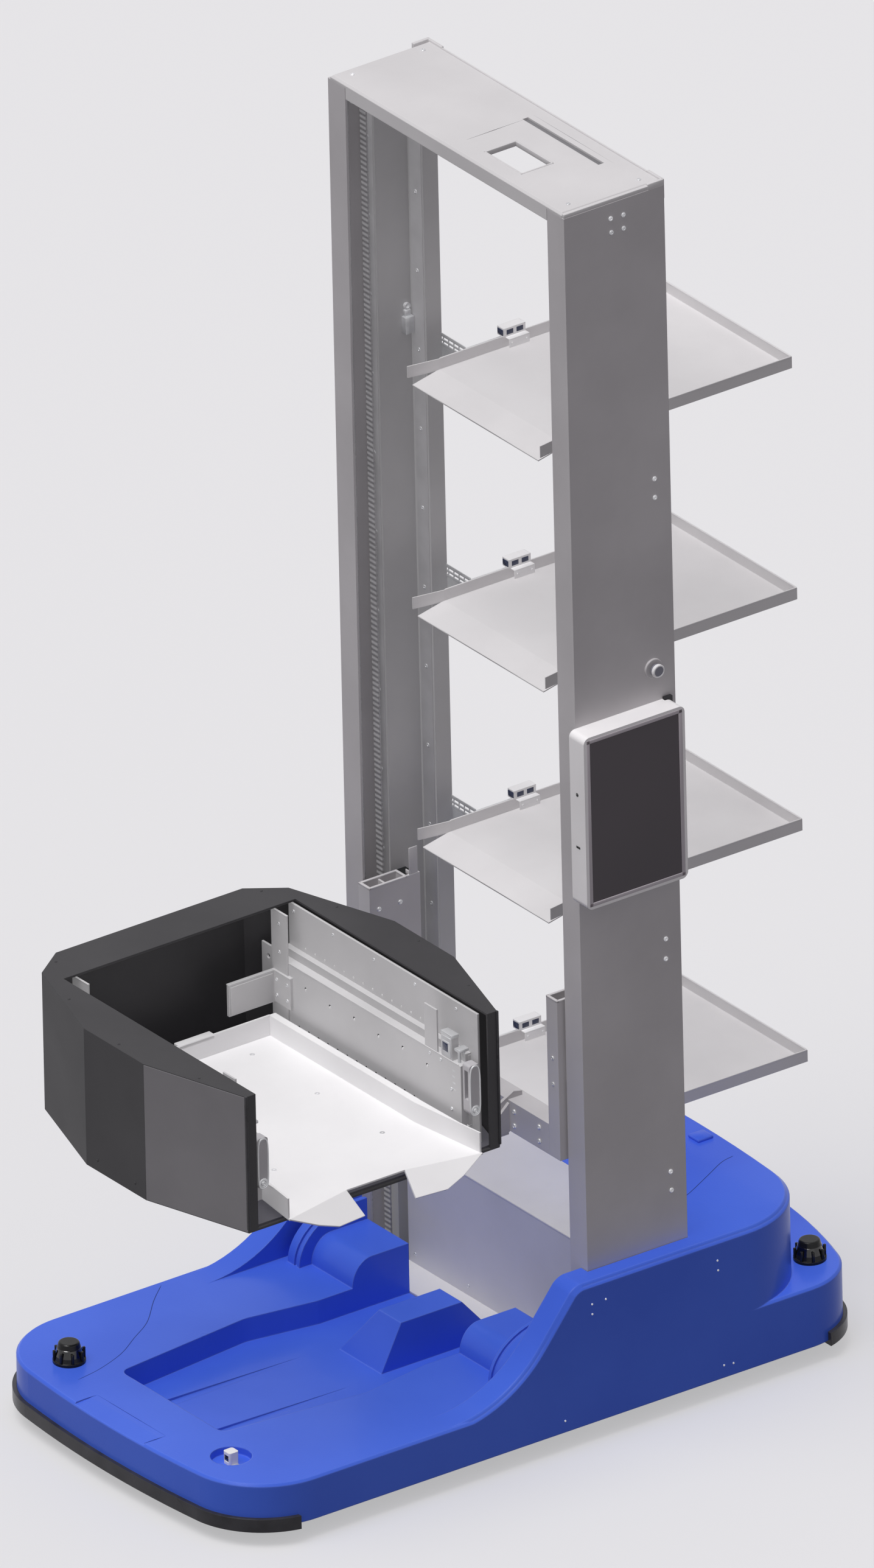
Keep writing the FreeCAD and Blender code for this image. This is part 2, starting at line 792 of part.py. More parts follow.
def caster_wheel(x, y):
    start = (x - caster_width / 2, y + caster_trail, caster_radius)
    wheel = rod(start, (1, 0, 0), caster_radius, caster_width)
    wheel = wheel.makeFillet(5, [e for e in wheel.Edges if e.BoundBox.XLength < 0.01])
    return wheel.cut(rod(start, (1, 0, 0), caster_axle_radius + running_gap, caster_width))


def mast_column():
    """One folded channel: a wide face, a flange at the front and a lip at the rear."""
    outline = [(mast_half, mast_front), (mast_half, mast_rear), (mast_half - column_rear_lip, mast_rear),
               (mast_half - column_rear_lip, mast_rear - column_sheet), (web_inner, mast_rear - column_sheet),
               (web_inner, mast_front + column_sheet), (face_inner(), mast_front + column_sheet),
               (face_inner(), mast_front)]
    return slab(outline, frame_top, column_top)


def face_inner():
    return mast_half - column_face


def guide_rail():
    """The stepped tube inside a column that the carriage shoes run on."""
    top = column_top - tie_height - 2
    outline = [(web_inner, guide_front), (web_inner, guide_rear), (rail_face, guide_rear),
               (rail_face, guide_split), (guide_face, guide_split), (guide_face, guide_front)]
    w = guide_wall
    inner = [(web_inner - w, guide_front + w), (web_inner - w, guide_rear - w), (rail_face + w, guide_rear - w),
             (rail_face + w, guide_split + w), (guide_face + w, guide_split + w), (guide_face + w, guide_front + w)]
    return slab(outline, frame_top, top).cut(slab(inner, frame_top, top))


def top_cover():
    """The cap over the mast: a plate, an apron between the column faces and a cable slot."""
    half = mast_half - cover_inset
    lower = mast_height - apron_height
    plate = box(-half, half, mast_front, mast_rear, column_top, mast_height)
    plate = plate.makeChamfer(cover_plate / 2, [e for e in top_edges(plate, mast_height)])
    apron = box(-face_inner() + 1, face_inner() - 1, mast_front, mast_front + column_sheet, lower, column_top)
    front = mast_setback - cap_hole_reach
    hole = box(cap_hole_start, cap_hole_start + cap_hole_width, front, front + cap_hole_depth,
               column_top - 1, mast_height + 1)
    front = mast_setback + cap_slot_setback
    slot = box(cap_slot_start, cap_slot_start + cap_slot_width, front, front + cap_slot_depth,
               column_top + 3, mast_height + 1)
    return fuse([plate, apron]).cut(hole).cut(slot)


def top_tie():
    """A channel across the top between the two columns."""
    rear = mast_rear - column_sheet - 1
    front = rear - tie_depth
    foot = column_top - tie_height
    beam = box(-web_inner, web_inner, front, rear, foot, column_top)
    hollow = box(-web_inner, web_inner, front + column_sheet, rear - column_sheet, foot - 1,
                 column_top - column_sheet)
    return beam.cut(hollow)


def cabinet():
    half = cabinet_half_width
    t = cabinet_sheet
    body = box(-half, half, cabinet_front, mast_rear, cabinet_foot, cabinet_height)
    body = body.makeChamfer(2, top_edges(body, cabinet_height))
    return body.cut(box(-half + t, half - t, cabinet_front + t, mast_rear - t, cabinet_foot - 1,
                        cabinet_height - t))


def foot_plate():
    """The light floor plate in front of the cabinet, on two side walls."""
    half = cabinet_half_width
    under = cabinet_foot - column_sheet
    plate = box(-half, half, pocket_y + 1, mast_rear, under, cabinet_foot)
    half_hole = lift_fin_radius + 4
    motor_y = cabinet_front + lift_motor_offset
    plate = plate.cut(box(-half_hole, half_hole, motor_y - half_hole + 3, motor_y + half_hole - 3,
                          under - 1, cabinet_foot + 1))
    walls = both_sides(box(half - column_sheet, half, pocket_y + 1, mast_rear, frame_top, under))
    for index, wall in enumerate(walls):
        slot = box(-half, half, pulley_y - 10, pulley_y + 10, frame_top, under)
        walls[index] = wall.cut(slot)
    return fuse([plate] + walls)


def lift_motor():
    """A right-angle gear motor: flat gearbox round the lower shaft, motor standing in the cabinet."""
    deck = cabinet_foot - column_sheet
    motor_y = cabinet_front + lift_motor_offset
    gear = box(-lift_gear_half, lift_gear_half, pulley_y - lift_gear_front, cabinet_front + lift_gear_rear,
               frame_top, deck)
    motor = rod((0, motor_y, deck), (0, 0, 1), lift_motor_radius, lift_motor_height)
    bore = rod((-lift_gear_half - 1, pulley_y, lower_pulley_height), (1, 0, 0), shaft_radius + running_gap,
               2 * lift_gear_half + 2)
    fins = []
    for index in range(lift_fin_count):
        z = cabinet_foot + lift_fin_lift + index * lift_fin_pitch
        fins.append(rod((0, motor_y, z), (0, 0, 1), lift_fin_radius, lift_fin_thickness))
    return fuse([gear, motor] + fins).cut(bore)


def cross_shaft(height):
    """A shaft across the mast with a belt pulley at each end."""
    start = (-belt_outer - 7, pulley_y, height)
    shaft = rod(start, (1, 0, 0), shaft_radius, 2 * belt_outer + 14)
    pulleys = []
    for x in (-belt_outer, belt_inner):
        pulleys.append(rod((x, pulley_y, height), (1, 0, 0), pulley_radius, pulley_width))
        for rim in (x - 2, x + pulley_width):
            pulleys.append(rod((rim, pulley_y, height), (1, 0, 0), pulley_radius + 4, 2))
    return fuse([shaft] + pulleys)


def lift_belt():
    """One closed belt round a lower and an upper pulley."""
    loops = []
    for radius in (pulley_radius + running_gap + belt_thickness, pulley_radius + running_gap):
        strand = box(belt_inner + 1, belt_outer - 1, pulley_y - radius, pulley_y + radius,
                     lower_pulley_height, upper_pulley_height)
        ends = [rod((belt_inner + 1, pulley_y, z), (1, 0, 0), radius, pulley_width - 2)
                for z in (lower_pulley_height, upper_pulley_height)]
        loops.append(fuse([strand] + ends))
    return loops[0].cut(loops[1])


def pulley_bearings():
    blocks = []
    for z in (lower_pulley_height, upper_pulley_height):
        half = bearing_block / 2
        block = box(web_inner - bearing_depth, web_inner, pulley_y - half, pulley_y + half, z - half, z + half)
        bore = rod((web_inner - bearing_depth - 1, pulley_y, z), (1, 0, 0), shaft_radius + running_gap,
                   bearing_depth - 2)
        blocks += both_sides(block.cut(bore))
    return Part.makeCompound(blocks)


def shelf(floor):
    """A folded sheet tray with a lead-in lip at the front and side rims that open out."""
    half = shelf_half_width
    t = shelf_sheet
    back = shelf_rear_y
    front = shelf_front_y
    base = box(-half, half, front, back, floor - t, floor)
    rear = box(-half, half, back - t, back, floor, floor + shelf_rim)
    lip = side_slab([(front, floor), (front - shelf_lip_reach, floor - shelf_lip_drop),
                     (front - shelf_lip_reach, floor - shelf_lip_drop - t), (front, floor - t)],
                    -half + 1, half - 1)
    end_y = front - shelf_lip_reach - 3
    rim_top = floor + shelf_rim
    rim = side_slab([(front, rim_top), (back, rim_top), (back, floor - t), (front + gusset_length + gusset_slope, floor - t),
                     (front + gusset_length, floor - gusset_drop), (front + gusset_start, floor - gusset_drop),
                     (front, floor - t)], half - t, half)
    wing = slab([(half - t, front), (half, front), (half + shelf_flare, end_y), (half + shelf_flare - t, end_y)],
                floor - t, rim_top)
    return fuse([base, rear, lip] + both_sides(rim) + both_sides(wing))


def shelf_brackets():
    """Angle brackets that carry each shelf from the rear of the guide rails."""
    pieces = []
    for index in range(shelf_count):
        floor = shelf_lowest_floor + index * shelf_pitch
        top = floor - shelf_sheet
        low = floor - bracket_height
        ear_y = guide_rear
        ear = box(rail_face, web_inner - bracket_ear_inset, ear_y, ear_y + bracket_sheet, low, top)
        arm = box(shelf_half_width, rail_face + bracket_sheet, ear_y, ear_y + bracket_sheet, low, top)
        wing_y = ear_y + bracket_wing
        side = side_slab([(ear_y, low), (ear_y, floor + shelf_rim), (wing_y, floor + shelf_rim), (wing_y, top)],
                         shelf_half_width, shelf_half_width + bracket_sheet)
        pieces += both_sides(fuse([ear, arm, side]))
    return Part.makeCompound(pieces)


def shelf_sensors():
    """A small reader block on the left rim of each shelf."""
    pieces = []
    for index in range(shelf_count):
        top = shelf_lowest_floor + index * shelf_pitch + shelf_rim
        y = shelf_front_y + sensor_block_setback
        x = -shelf_half_width - sensor_block_proud
        pieces.append(box(x, x + sensor_block_width, y, y + sensor_block_length, top, top + sensor_block_height))
    return Part.makeCompound(pieces)


def panel_housing():
    start = mast_front - panel_overhang
    top = panel_foot + panel_height
    body = box(mast_half, mast_half + panel_thickness, start, start + panel_width, panel_foot, top)
    corners = [e for e in body.Edges if e.BoundBox.XLength > panel_thickness - 1]
    body = body.makeFillet(panel_corner, corners)
    return body.cut(panel_opening(0))


def panel_opening(clearance):
    start = mast_front - panel_overhang
    side = screen_border + clearance
    return box(mast_half + panel_thickness - screen_depth, mast_half + panel_thickness + 1 - clearance,
               start + side, start + panel_width - side, panel_foot + side, panel_foot + panel_height - side)


def panel_screen():
    glass = panel_opening(0)
    return glass.common(box(mast_half, mast_half + panel_thickness - 1, mast_front - panel_overhang, mast_rear,
                            panel_foot, panel_foot + panel_height))


def button_place(x):
    return (x, mast_setback + button_setback, button_height)


def stop_button_base():
    """A flat collar on the column face; the button's stem slides in its bore."""
    collar = rod(button_place(mast_half), (1, 0, 0), collar_diameter / 2, collar_thickness)
    collar = collar.makeChamfer(1, [e for e in collar.Edges if e.BoundBox.XMin > mast_half + collar_thickness - 0.1])
    return collar.cut(rod(button_place(mast_half - 1), (1, 0, 0), button_stem_radius, collar_thickness + 2))


def button_hole():
    """The room behind the collar, in the right-hand column, that the pressed stem goes into."""
    return rod(button_place(web_inner - 1), (1, 0, 0), button_stem_radius + slide_gap, column_sheet + 2)


def stop_button():
    rest = mast_half + collar_thickness + button_travel + 1
    start = mast_half + slide_gap
    stem = rod(button_place(start), (1, 0, 0), button_stem_radius - running_gap, rest - start)
    cap = rod(button_place(rest), (1, 0, 0), button_diameter / 2, button_depth)
    cap = cap.makeFillet(1.5, [e for e in cap.Edges if e.BoundBox.XMin > rest + button_depth - 1])
    return fuse([stem, cap])


def carriage_brackets():
    """The open-topped sheet boxes at the sides of the carriage, each with a divider."""
    x0 = carriage_inner
    x1 = carriage_half_width
    t = carriage_sheet
    y0 = carriage_front
    y1 = y0 + carriage_box_depth
    front = box(x0, x1, y0, y0 + t, carriage_foot, carriage_top)
    inner = box(x0, x0 + t, y0, y1 + carriage_tail, carriage_foot, carriage_top)
    outer = box(x1 - t, x1, y0, y1, carriage_foot, carriage_top)
    rear = box(x0, x1, y1 - t, y1, carriage_foot, carriage_top)
    divider = box(x0, x1, y0 + 38, y0 + 38 + t, carriage_foot, carriage_top - 4)
    bracket = fuse([front, inner, outer, rear, divider, belt_clamp()])
    return Part.makeCompound(both_sides(bracket))


def carriage_beam():
    """Cross beam, two cantilever plates and the plate that carries the turntable."""
    inner = carriage_inner
    y0 = carriage_front
    beam = box(-inner, inner, y0, y0 + beam_depth, carriage_foot, beam_top)
    beam = beam.cut(box(-inner, inner, y0 + carriage_sheet, y0 + beam_depth - carriage_sheet,
                        carriage_foot + carriage_sheet, beam_top - carriage_sheet))
    end = turn_y - arm_plate_reach
    foot = carriage_foot - arm_plate_drop
    outline = [(end, beam_top - top_plate - 22), (end + 90, foot), (y0, foot), (y0, beam_top - 4),
               (y0 + 30, beam_top - 4), (y0 + 30, beam_top + 8), (y0 + 12, beam_top + 12), (y0 - 26, beam_top - 8),
               (end, beam_top - 8)]
    half = arm_plate_sheet / 2
    arms = [side_slab(outline, x - half, x + half) for x in (-arm_plate_offset, arm_plate_offset)]
    arms = [arm.cut(box(-inner, inner, y0, y0 + beam_depth, carriage_foot, beam_top)) for arm in arms]
    top = shell_foot - 5 - bearing_height
    plate = box(-top_plate_half, top_plate_half, end, turn_y + arm_plate_reach + 40, top - top_plate, top)
    plate = plate.cut(rod((0, turn_y, top - top_plate - 1), (0, 0, 1), bearing_inner_radius, top_plate + 2))
    return fuse([beam, plate] + arms)


def guide_shoes():
    pieces = []
    x0 = carriage_inner + carriage_sheet
    y0 = guide_front
    for z in (carriage_foot + 6, carriage_top - shoe_height - 6):
        shoe = box(x0, guide_face - slide_gap, y0 + 5, carriage_front + carriage_box_depth + carriage_tail, z,
                   z + shoe_height)
        pieces += both_sides(shoe)
    return Part.makeCompound(pieces)


def belt_clamp():
    strand_y = pulley_y - pulley_radius - belt_thickness
    foot = carriage_foot + clamp_foot
    return box(carriage_half_width, belt_inner - slide_gap, strand_y - clamp_half, strand_y + 2 * clamp_half,
               foot, foot + clamp_height)


def turntable_ring():
    top = shell_foot - 5
    return tube((0, turn_y, top - bearing_height), (0, 0, 1), bearing_outer_radius, bearing_split_radius,
                bearing_height)


def turn_motor():
    top = shell_foot - 5 - bearing_height
    body = rod((0, turn_y, top - 78), (0, 0, 1), turn_motor_radius, 70)
    flange = rod((0, turn_y, top - 12), (0, 0, 1), bearing_inner_radius + 12, 4)
    spigot = rod((0, turn_y, top - 8), (0, 0, 1), bearing_inner_radius - 10, 8)
    return fuse([body, flange, spigot])


def shell_plan(inset, z0, z1):
    """The eight-sided plan of the fork shell, open towards +X, raised from z0 to z1."""
    half = [(-shell_back, shell_back_half), (-shell_corner_back, shell_corner_half),
            (-shell_wide_back, shell_wide_half), (shell_wide_front, shell_wide_half),
            (shell_front, shell_mouth_half)]
    points = [V(x, turn_y - u, z0) for x, u in half] + [V(x, turn_y + u, z0) for x, u in half[::-1]]
    face = Part.Face(Part.makePolygon(points + points[:1]))
    if inset:
        face = face.makeOffset2D(-inset, 2)
    return face.extrude(V(0, 0, z1 - z0))


def fork_shell():
    t = shell_sheet
    outer = shell_plan(0, shell_foot, shell_top)
    hollow = shell_plan(t, shell_foot + t, shell_top - t)
    mouth = box(-opening_back, shell_front + 1, turn_y - opening_half_width, turn_y + opening_half_width,
                shell_foot + t, shell_top + 1)
    hole = rod((0, turn_y, shell_foot - 1), (0, 0, 1), bearing_split_radius + 4, t + 2)
    return outer.cut(hollow).cut(mouth).cut(hole)


def fork_base():
    """Floor plate of the fork unit with the turning ring below and tray supports above."""
    floor = shell_foot + shell_sheet
    plate = shell_plan(shell_sheet + 2, floor, floor + fork_floor)
    ring = rod((0, turn_y, floor - shell_sheet - 5 - bearing_height + slide_gap), (0, 0, 1),
               bearing_split_radius - running_gap, bearing_height + 5 + shell_sheet)
    bore = rod((0, turn_y, floor - 60), (0, 0, 1), bearing_inner_radius, 100)
    rails = []
    under = tray_floor - tray_sheet
    for u in (-130, 100):
        rails.append(box(-200, 200, turn_y + u, turn_y + u + 30, floor + fork_floor, under))
    return fuse([plate, ring] + rails).cut(bore)


def tray():
    """White tray: flat floor, flanged rims that open out at the front, and two lead-in tongues."""
    half = tray_half_width
    t = tray_sheet
    low = tray_floor - t
    top = tray_floor + tray_rim
    wide = half + tray_flare
    floor_half = [(-tray_back, half), (tray_bend, half), (tray_tip_reach, wide), (tray_front, tray_notch_half)]
    outline = [(x, turn_y - u) for x, u in floor_half] + [(x, turn_y + u) for x, u in floor_half[::-1]]
    pieces = [slab(outline, low, tray_floor)]
    pieces.append(box(-tray_back, -tray_back + t, turn_y - half, turn_y + half, low, top))
    for side in (-1, 1):
        path = [(-tray_back, half), (tray_bend, half), (tray_tip_reach - 4, wide)]
        wall = path + [(x, u - t) for x, u in path[::-1]]
        pieces.append(slab([(x, turn_y + side * u) for x, u in wall], low, top))
        flange = [(-tray_back, half), (tray_bend, half), (tray_tip_reach - 40, wide - 6), (tray_bend, half + tray_flange),
                  (-tray_back, half + tray_flange)]
        pieces.append(slab([(x, turn_y + side * u) for x, u in flange], top - t, top))
        pieces.append(tongue(side))
    return fuse(pieces)


def tongue(side):
    """A lead-in plate folded down along the slanted front edge of the floor."""
    inner = V(tray_front, turn_y + side * tray_notch_half, tray_floor)
    outer = V(tray_tip_reach, turn_y + side * (tray_half_width + tray_flare), tray_floor)
    along = outer - inner
    down = V(tongue_reach, -side * 8, -tongue_drop)
    corners = [inner, outer, inner + along * 0.67 + down * 0.6, inner + along * 0.42 + down * 0.93, inner + down]
    wire = Part.makePolygon(corners + [inner])
    return Part.Face(wire).extrude(V(-tray_sheet, 0, -tray_sheet))


def stage_box(x0, x1, u0, u1, z0, z1):
    """A box in fork terms: u is the distance from the middle plane, on the +Y side."""
    return box(x0, x1, turn_y + u0, turn_y + u1, z0, z1)


def far_and_near(shape):
    return [shape, shape.mirror(V(0, turn_y, 0), V(0, 1, 0))]


def arm_plate():
    """Fixed side plate with the outer rail and a row of small holes."""
    floor = shell_foot + shell_sheet + fork_floor
    rail_face_u = plate_face - plate_sheet
    plate = stage_box(-stage_back, plate_front, rail_face_u, plate_face, floor, plate_top)
    rail = stage_box(-stage_back, stage_front - end_plate - 3, rail_face_u - rail_sheet, rail_face_u,
                     mid_foot + plate_sheet + slide_gap, mid_top - plate_sheet - slide_gap)
    starts = [(row_start + index * row_pitch, mid_top + 8) for index in range(row_count)]
    return cut_all(fuse([plate, rail]), holes_along(starts, rail_face_u, plate_sheet, row_hole_radius))


def holes_along(places, face, sheet, radius):
    """Cutters for a row of holes through an upright sheet whose inner face is at u."""
    return [rod((x, turn_y + face - 1, z), (0, 1, 0), radius, sheet + 2) for x, z in places]


def cut_all(shape, tools):
    for tool in tools:
        shape = shape.cut(tool)
    return shape


def mid_stage():
    """Channel that wraps the fixed rail, with the inner rail on its other face."""
    rail_u = plate_face - plate_sheet - rail_sheet
    web_out = rail_u - slide_gap
    web_in = web_out - channel_web
    edge = plate_face - plate_sheet - slide_gap
    front = stage_front - end_plate - 3
    web = stage_box(-stage_back, front, web_in, web_out, mid_foot, mid_top)
    flanges = [stage_box(-stage_back, front, web_out, edge, mid_foot, mid_foot + plate_sheet),
               stage_box(-stage_back, front, web_out, edge, mid_top - plate_sheet, mid_top)]
    rail = stage_box(-stage_back, front, web_in - rail_sheet, web_in,
                     inner_foot + plate_sheet + slide_gap, inner_top - plate_sheet - slide_gap)
    return fuse([web, rail] + flanges)


def inner_stage():
    """Inner channel with the L-shaped pusher at the back and the finger bracket at the front."""
    web_in = inner_face
    rail_u = plate_face - plate_sheet - 2 * rail_sheet - slide_gap - channel_web
    web_out = rail_u - slide_gap
    edge = rail_u + rail_sheet - slide_gap
    back = -stage_back + 3
    web = stage_box(back, stage_front, web_in, web_out, inner_foot, inner_top)
    flanges = [stage_box(back, stage_front, web_out, edge, inner_foot, inner_foot + plate_sheet),
               stage_box(back, stage_front, web_out, edge, inner_top - plate_sheet, inner_top)]
    t = pusher_sheet
    pusher_top = pusher_foot + pusher_height
    leg = stage_box(-pusher_back, -pusher_back + pusher_leg, web_in - t, web_in, pusher_foot, pusher_top)
    blade = stage_box(-pusher_back, -pusher_back + t, web_in - pusher_reach, web_in, pusher_foot, pusher_top)
    riser = stage_box(-riser_back, riser_length - riser_back, web_in - 3, web_in, inner_foot, plate_top - 5)
    tail = stage_box(-tail_back, back, web_in, web_in + 4, pusher_foot, tail_top)
    end = stage_box(stage_front - end_plate, stage_front, web_in, finger_offset + finger_half_width,
                    finger_pivot_height - 14, finger_pivot_height + 14)
    bore = rod((stage_front - end_plate, turn_y + finger_offset, finger_pivot_height), (1, 0, 0),
               finger_pin_radius + running_gap, end_plate)
    motor = stage_box(stage_front - 56, stage_front - 26, web_in + 1, web_in + 15, inner_top, inner_top + 46)
    tab = stage_box(stage_front - 104, stage_front - 68, web_in, web_in + 3, inner_top, inner_top + 82)
    holes = []
    for index in range(stage_hole_count):
        z = inner_top - stage_hole_drop + stage_hole_step * (index % 2)
        holes.append((hole_start + index * hole_pitch, z))
    cutters = holes_along(holes, web_in, web_out - web_in, hole_radius)
    cutters += holes_along([(-tail_hole_back, tail_top - tail_hole_drop)], web_in, plate_sheet, tail_hole_radius)
    return cut_all(fuse([web, leg, blade, riser, tail, end, motor, tab] + flanges), [bore] + cutters)


def finger():
    """The hold-back finger on the arm's end; it folds down across the tray."""
    x0 = stage_front + finger_gap
    turn = finger_offset
    pivot = (x0, turn_y + turn, finger_pivot_height)
    knuckle = rod(pivot, (1, 0, 0), finger_half_width, finger_thickness)
    blade = stage_box(x0, x0 + finger_thickness, turn - finger_half_width, turn + finger_half_width,
                      finger_pivot_height, finger_pivot_height + finger_length)
    blade = blade.makeFillet(5, [e for e in blade.Edges if e.BoundBox.XLength > finger_thickness - 1
                                 and e.BoundBox.ZMin > finger_pivot_height + 1])
    slot = stage_box(x0 + 5, x0 + finger_thickness - 5, turn - finger_half_width - 1, turn + finger_half_width + 1,
                     finger_pivot_height + 20, finger_pivot_height + finger_length - 12)
    pin = rod((stage_front - end_plate, turn_y + turn, finger_pivot_height), (1, 0, 0), finger_pin_radius,
              end_plate + finger_gap)
    return fuse([knuckle, blade, pin]).cut(slot)


def arm_motors():
    """Belt drive motors of the two arms, between the side plates and the shell."""
    floor = shell_foot + shell_sheet + fork_floor
    u = plate_face + arm_motor_offset
    start = arm_motor_start
    body = rod((start, turn_y + u, floor + arm_motor_lift), (1, 0, 0), arm_motor_radius, arm_motor_length)
    foot = stage_box(start + 10, start + 10 + arm_foot_length, u - arm_foot_width / 2, u + arm_foot_width / 2,
                     floor, floor + arm_motor_lift)
    end = start + arm_motor_length
    gear = stage_box(end, end + arm_gear_length, plate_face, u + arm_motor_radius, floor, floor + arm_gear_height)
    return Part.makeCompound(far_and_near(fuse([body, foot, gear])))


save("base_cover", base_cover())
save("base_frame", base_frame())
save("front_bumper", bumper(-1))
save("rear_bumper", bumper(1))
save("lidar_front", lidar(lidar_front[0], lidar_front[1], deck_height))
save("lidar_rear", lidar(lidar_rear[0], lidar_rear[1], rear_deck_height))
save("corner_sensor", corner_sensor())
save("battery_pack", battery_pack())
save("control_box", finned_box(-1, control_box_height))
save("drive_inverter", finned_box(1, inverter_height))
save("drive_motors", drive_motors())
save("drive_wheel_left", drive_wheel(-1))
save("drive_wheel_right", drive_wheel(1))
for number, place in enumerate(caster_places(), start=1):
    save("caster_fork_" + str(number), caster_fork(*place))
    save("caster_wheel_" + str(number), caster_wheel(*place))
save("mast_column_left", mirror(mast_column()))
save("mast_column_right", mast_column().cut(button_hole()))
save("guide_rails", Part.makeCompound(both_sides(guide_rail())))
save("mast_top_cover", top_cover())
save("mast_top_tie", top_tie())
save("mast_cabinet", cabinet())
save("mast_foot_plate", foot_plate())
save("lift_motor", lift_motor())
save("lower_shaft", cross_shaft(lower_pulley_height))
save("upper_shaft", cross_shaft(upper_pulley_height))
save("lift_belts", Part.makeCompound(both_sides(lift_belt())))
save("pulley_bearings", pulley_bearings())
for index in range(shelf_count):
    save("shelf_" + str(index + 1), shelf(shelf_lowest_floor + index * shelf_pitch))
save("shelf_brackets", shelf_brackets())
save("shelf_sensors", shelf_sensors())
save("panel_housing", panel_housing())
save("panel_screen", panel_screen())
save("stop_button_base", stop_button_base())
save("stop_button", stop_button())
save("carriage_brackets", carriage_brackets())
save("carriage_beam", carriage_beam())
save("guide_shoes", guide_shoes())
save("turntable_ring", turntable_ring())
save("turn_motor", turn_motor())
save("fork_shell", fork_shell())
save("fork_base", fork_base())
save("fork_tray", tray())
save("arm_motors", arm_motors())
stages = {"arm_plate": arm_plate(), "arm_mid": mid_stage(), "arm_inner": inner_stage(), "finger": finger()}
for name, shape in stages.items():
    far, near = far_and_near(shape)
    save(name + "_far", far)
    save(name + "_near", near)
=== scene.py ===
import bpy
import bmesh
import math
from mathutils import Matrix, Vector


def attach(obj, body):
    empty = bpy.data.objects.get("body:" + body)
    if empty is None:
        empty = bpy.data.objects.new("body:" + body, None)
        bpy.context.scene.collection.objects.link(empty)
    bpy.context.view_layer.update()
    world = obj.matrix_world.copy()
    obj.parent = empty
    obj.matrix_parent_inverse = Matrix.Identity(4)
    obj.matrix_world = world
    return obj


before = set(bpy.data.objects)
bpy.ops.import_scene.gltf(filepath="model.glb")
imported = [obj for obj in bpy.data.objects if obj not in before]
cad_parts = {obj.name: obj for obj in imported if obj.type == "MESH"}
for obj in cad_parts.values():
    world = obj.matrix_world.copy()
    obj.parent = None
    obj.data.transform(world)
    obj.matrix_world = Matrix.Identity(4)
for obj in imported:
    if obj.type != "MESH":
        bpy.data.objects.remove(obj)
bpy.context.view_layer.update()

# Camera
# Parallel view from the front right, high up, as the photograph has it. It is placed by the
# foot of the mast, which stands right of the middle of the picture and below it.
turn, lift, roll = math.radians(54.6), math.radians(26.7), math.radians(-1.3)
towards = Vector((math.sin(turn) * math.cos(lift), -math.cos(turn) * math.cos(lift), math.sin(lift)))
level = Vector((math.cos(turn), math.sin(turn), 0))
upward = towards.cross(level)
right = level * math.cos(roll) + upward * math.sin(roll)
up = upward * math.cos(roll) - level * math.sin(roll)
mast_foot = Vector((0.345, 0.084, 0.304))
foot_right, foot_below = 0.2589, 0.8366
centre = mast_foot - right * foot_right + up * foot_below
distance = 12
camera = bpy.data.objects.new("camera", bpy.data.cameras.new("camera"))
camera.data.type = "ORTHO"
camera.data.sensor_fit = "VERTICAL"
camera.data.ortho_scale = 2.692
camera.data.clip_end = 60
aim = Matrix((right, up, towards)).transposed().to_4x4()
camera.matrix_world = Matrix.Translation(centre + towards * distance) @ aim
bpy.context.scene.collection.objects.link(camera)
bpy.context.scene.camera = camera


# Floor and light
# A plain pale studio floor under a broad soft lamp overhead, a little from the front. An even
# fill lamp beside it and a weak one from the side cast no shadow, to keep the light flat. Only
# camera and reflections see the floor pale, so it doesn't light the flanks from below.
def linear(code):
    """A colour written as six hex digits, as the shader wants it."""
    parts = [int(code[i:i + 2], 16) / 255 for i in (0, 2, 4)]
    return [p / 12.92 if p <= 0.04045 else ((p + 0.055) / 1.055) ** 2.4 for p in parts] + [1.0]


def seen_directly(tree):
    """1 where a camera ray, a reflection or a look through glass meets the surface."""
    path = tree.nodes.new("ShaderNodeLightPath")
    seen = path.outputs["Is Camera Ray"]
    for kind in ("Is Glossy Ray", "Is Transmission Ray"):
        either = tree.nodes.new("ShaderNodeMath")
        either.operation = "MAXIMUM"
        tree.links.new(seen, either.inputs[0])
        tree.links.new(path.outputs[kind], either.inputs[1])
        seen = either.outputs[0]
    return seen


ground = bmesh.new()
bmesh.ops.create_grid(ground, x_segments=1, y_segments=1, size=30)
ground_mesh = bpy.data.meshes.new("floor")
ground.to_mesh(ground_mesh)
floor = bpy.data.objects.new("floor", ground_mesh)
bpy.context.scene.collection.objects.link(floor)
floor_paint = bpy.data.materials.new("studio_floor")
floor_paint.use_nodes = True
tree = floor_paint.node_tree
shader = tree.nodes["Principled BSDF"]
shader.inputs["Roughness"].default_value = 0.9
shader.inputs["Specular IOR Level"].default_value = 0.0
tone = tree.nodes.new("ShaderNodeMix")
tone.data_type = "RGBA"
tone.inputs["A"].default_value = (0.16, 0.16, 0.17, 1)
tone.inputs["B"].default_value = (0.80, 0.80, 0.81, 1)
tree.links.new(seen_directly(tree), tone.inputs["Factor"])
tree.links.new(tone.outputs["Result"], shader.inputs["Base Color"])
ground_mesh.materials.append(floor_paint)

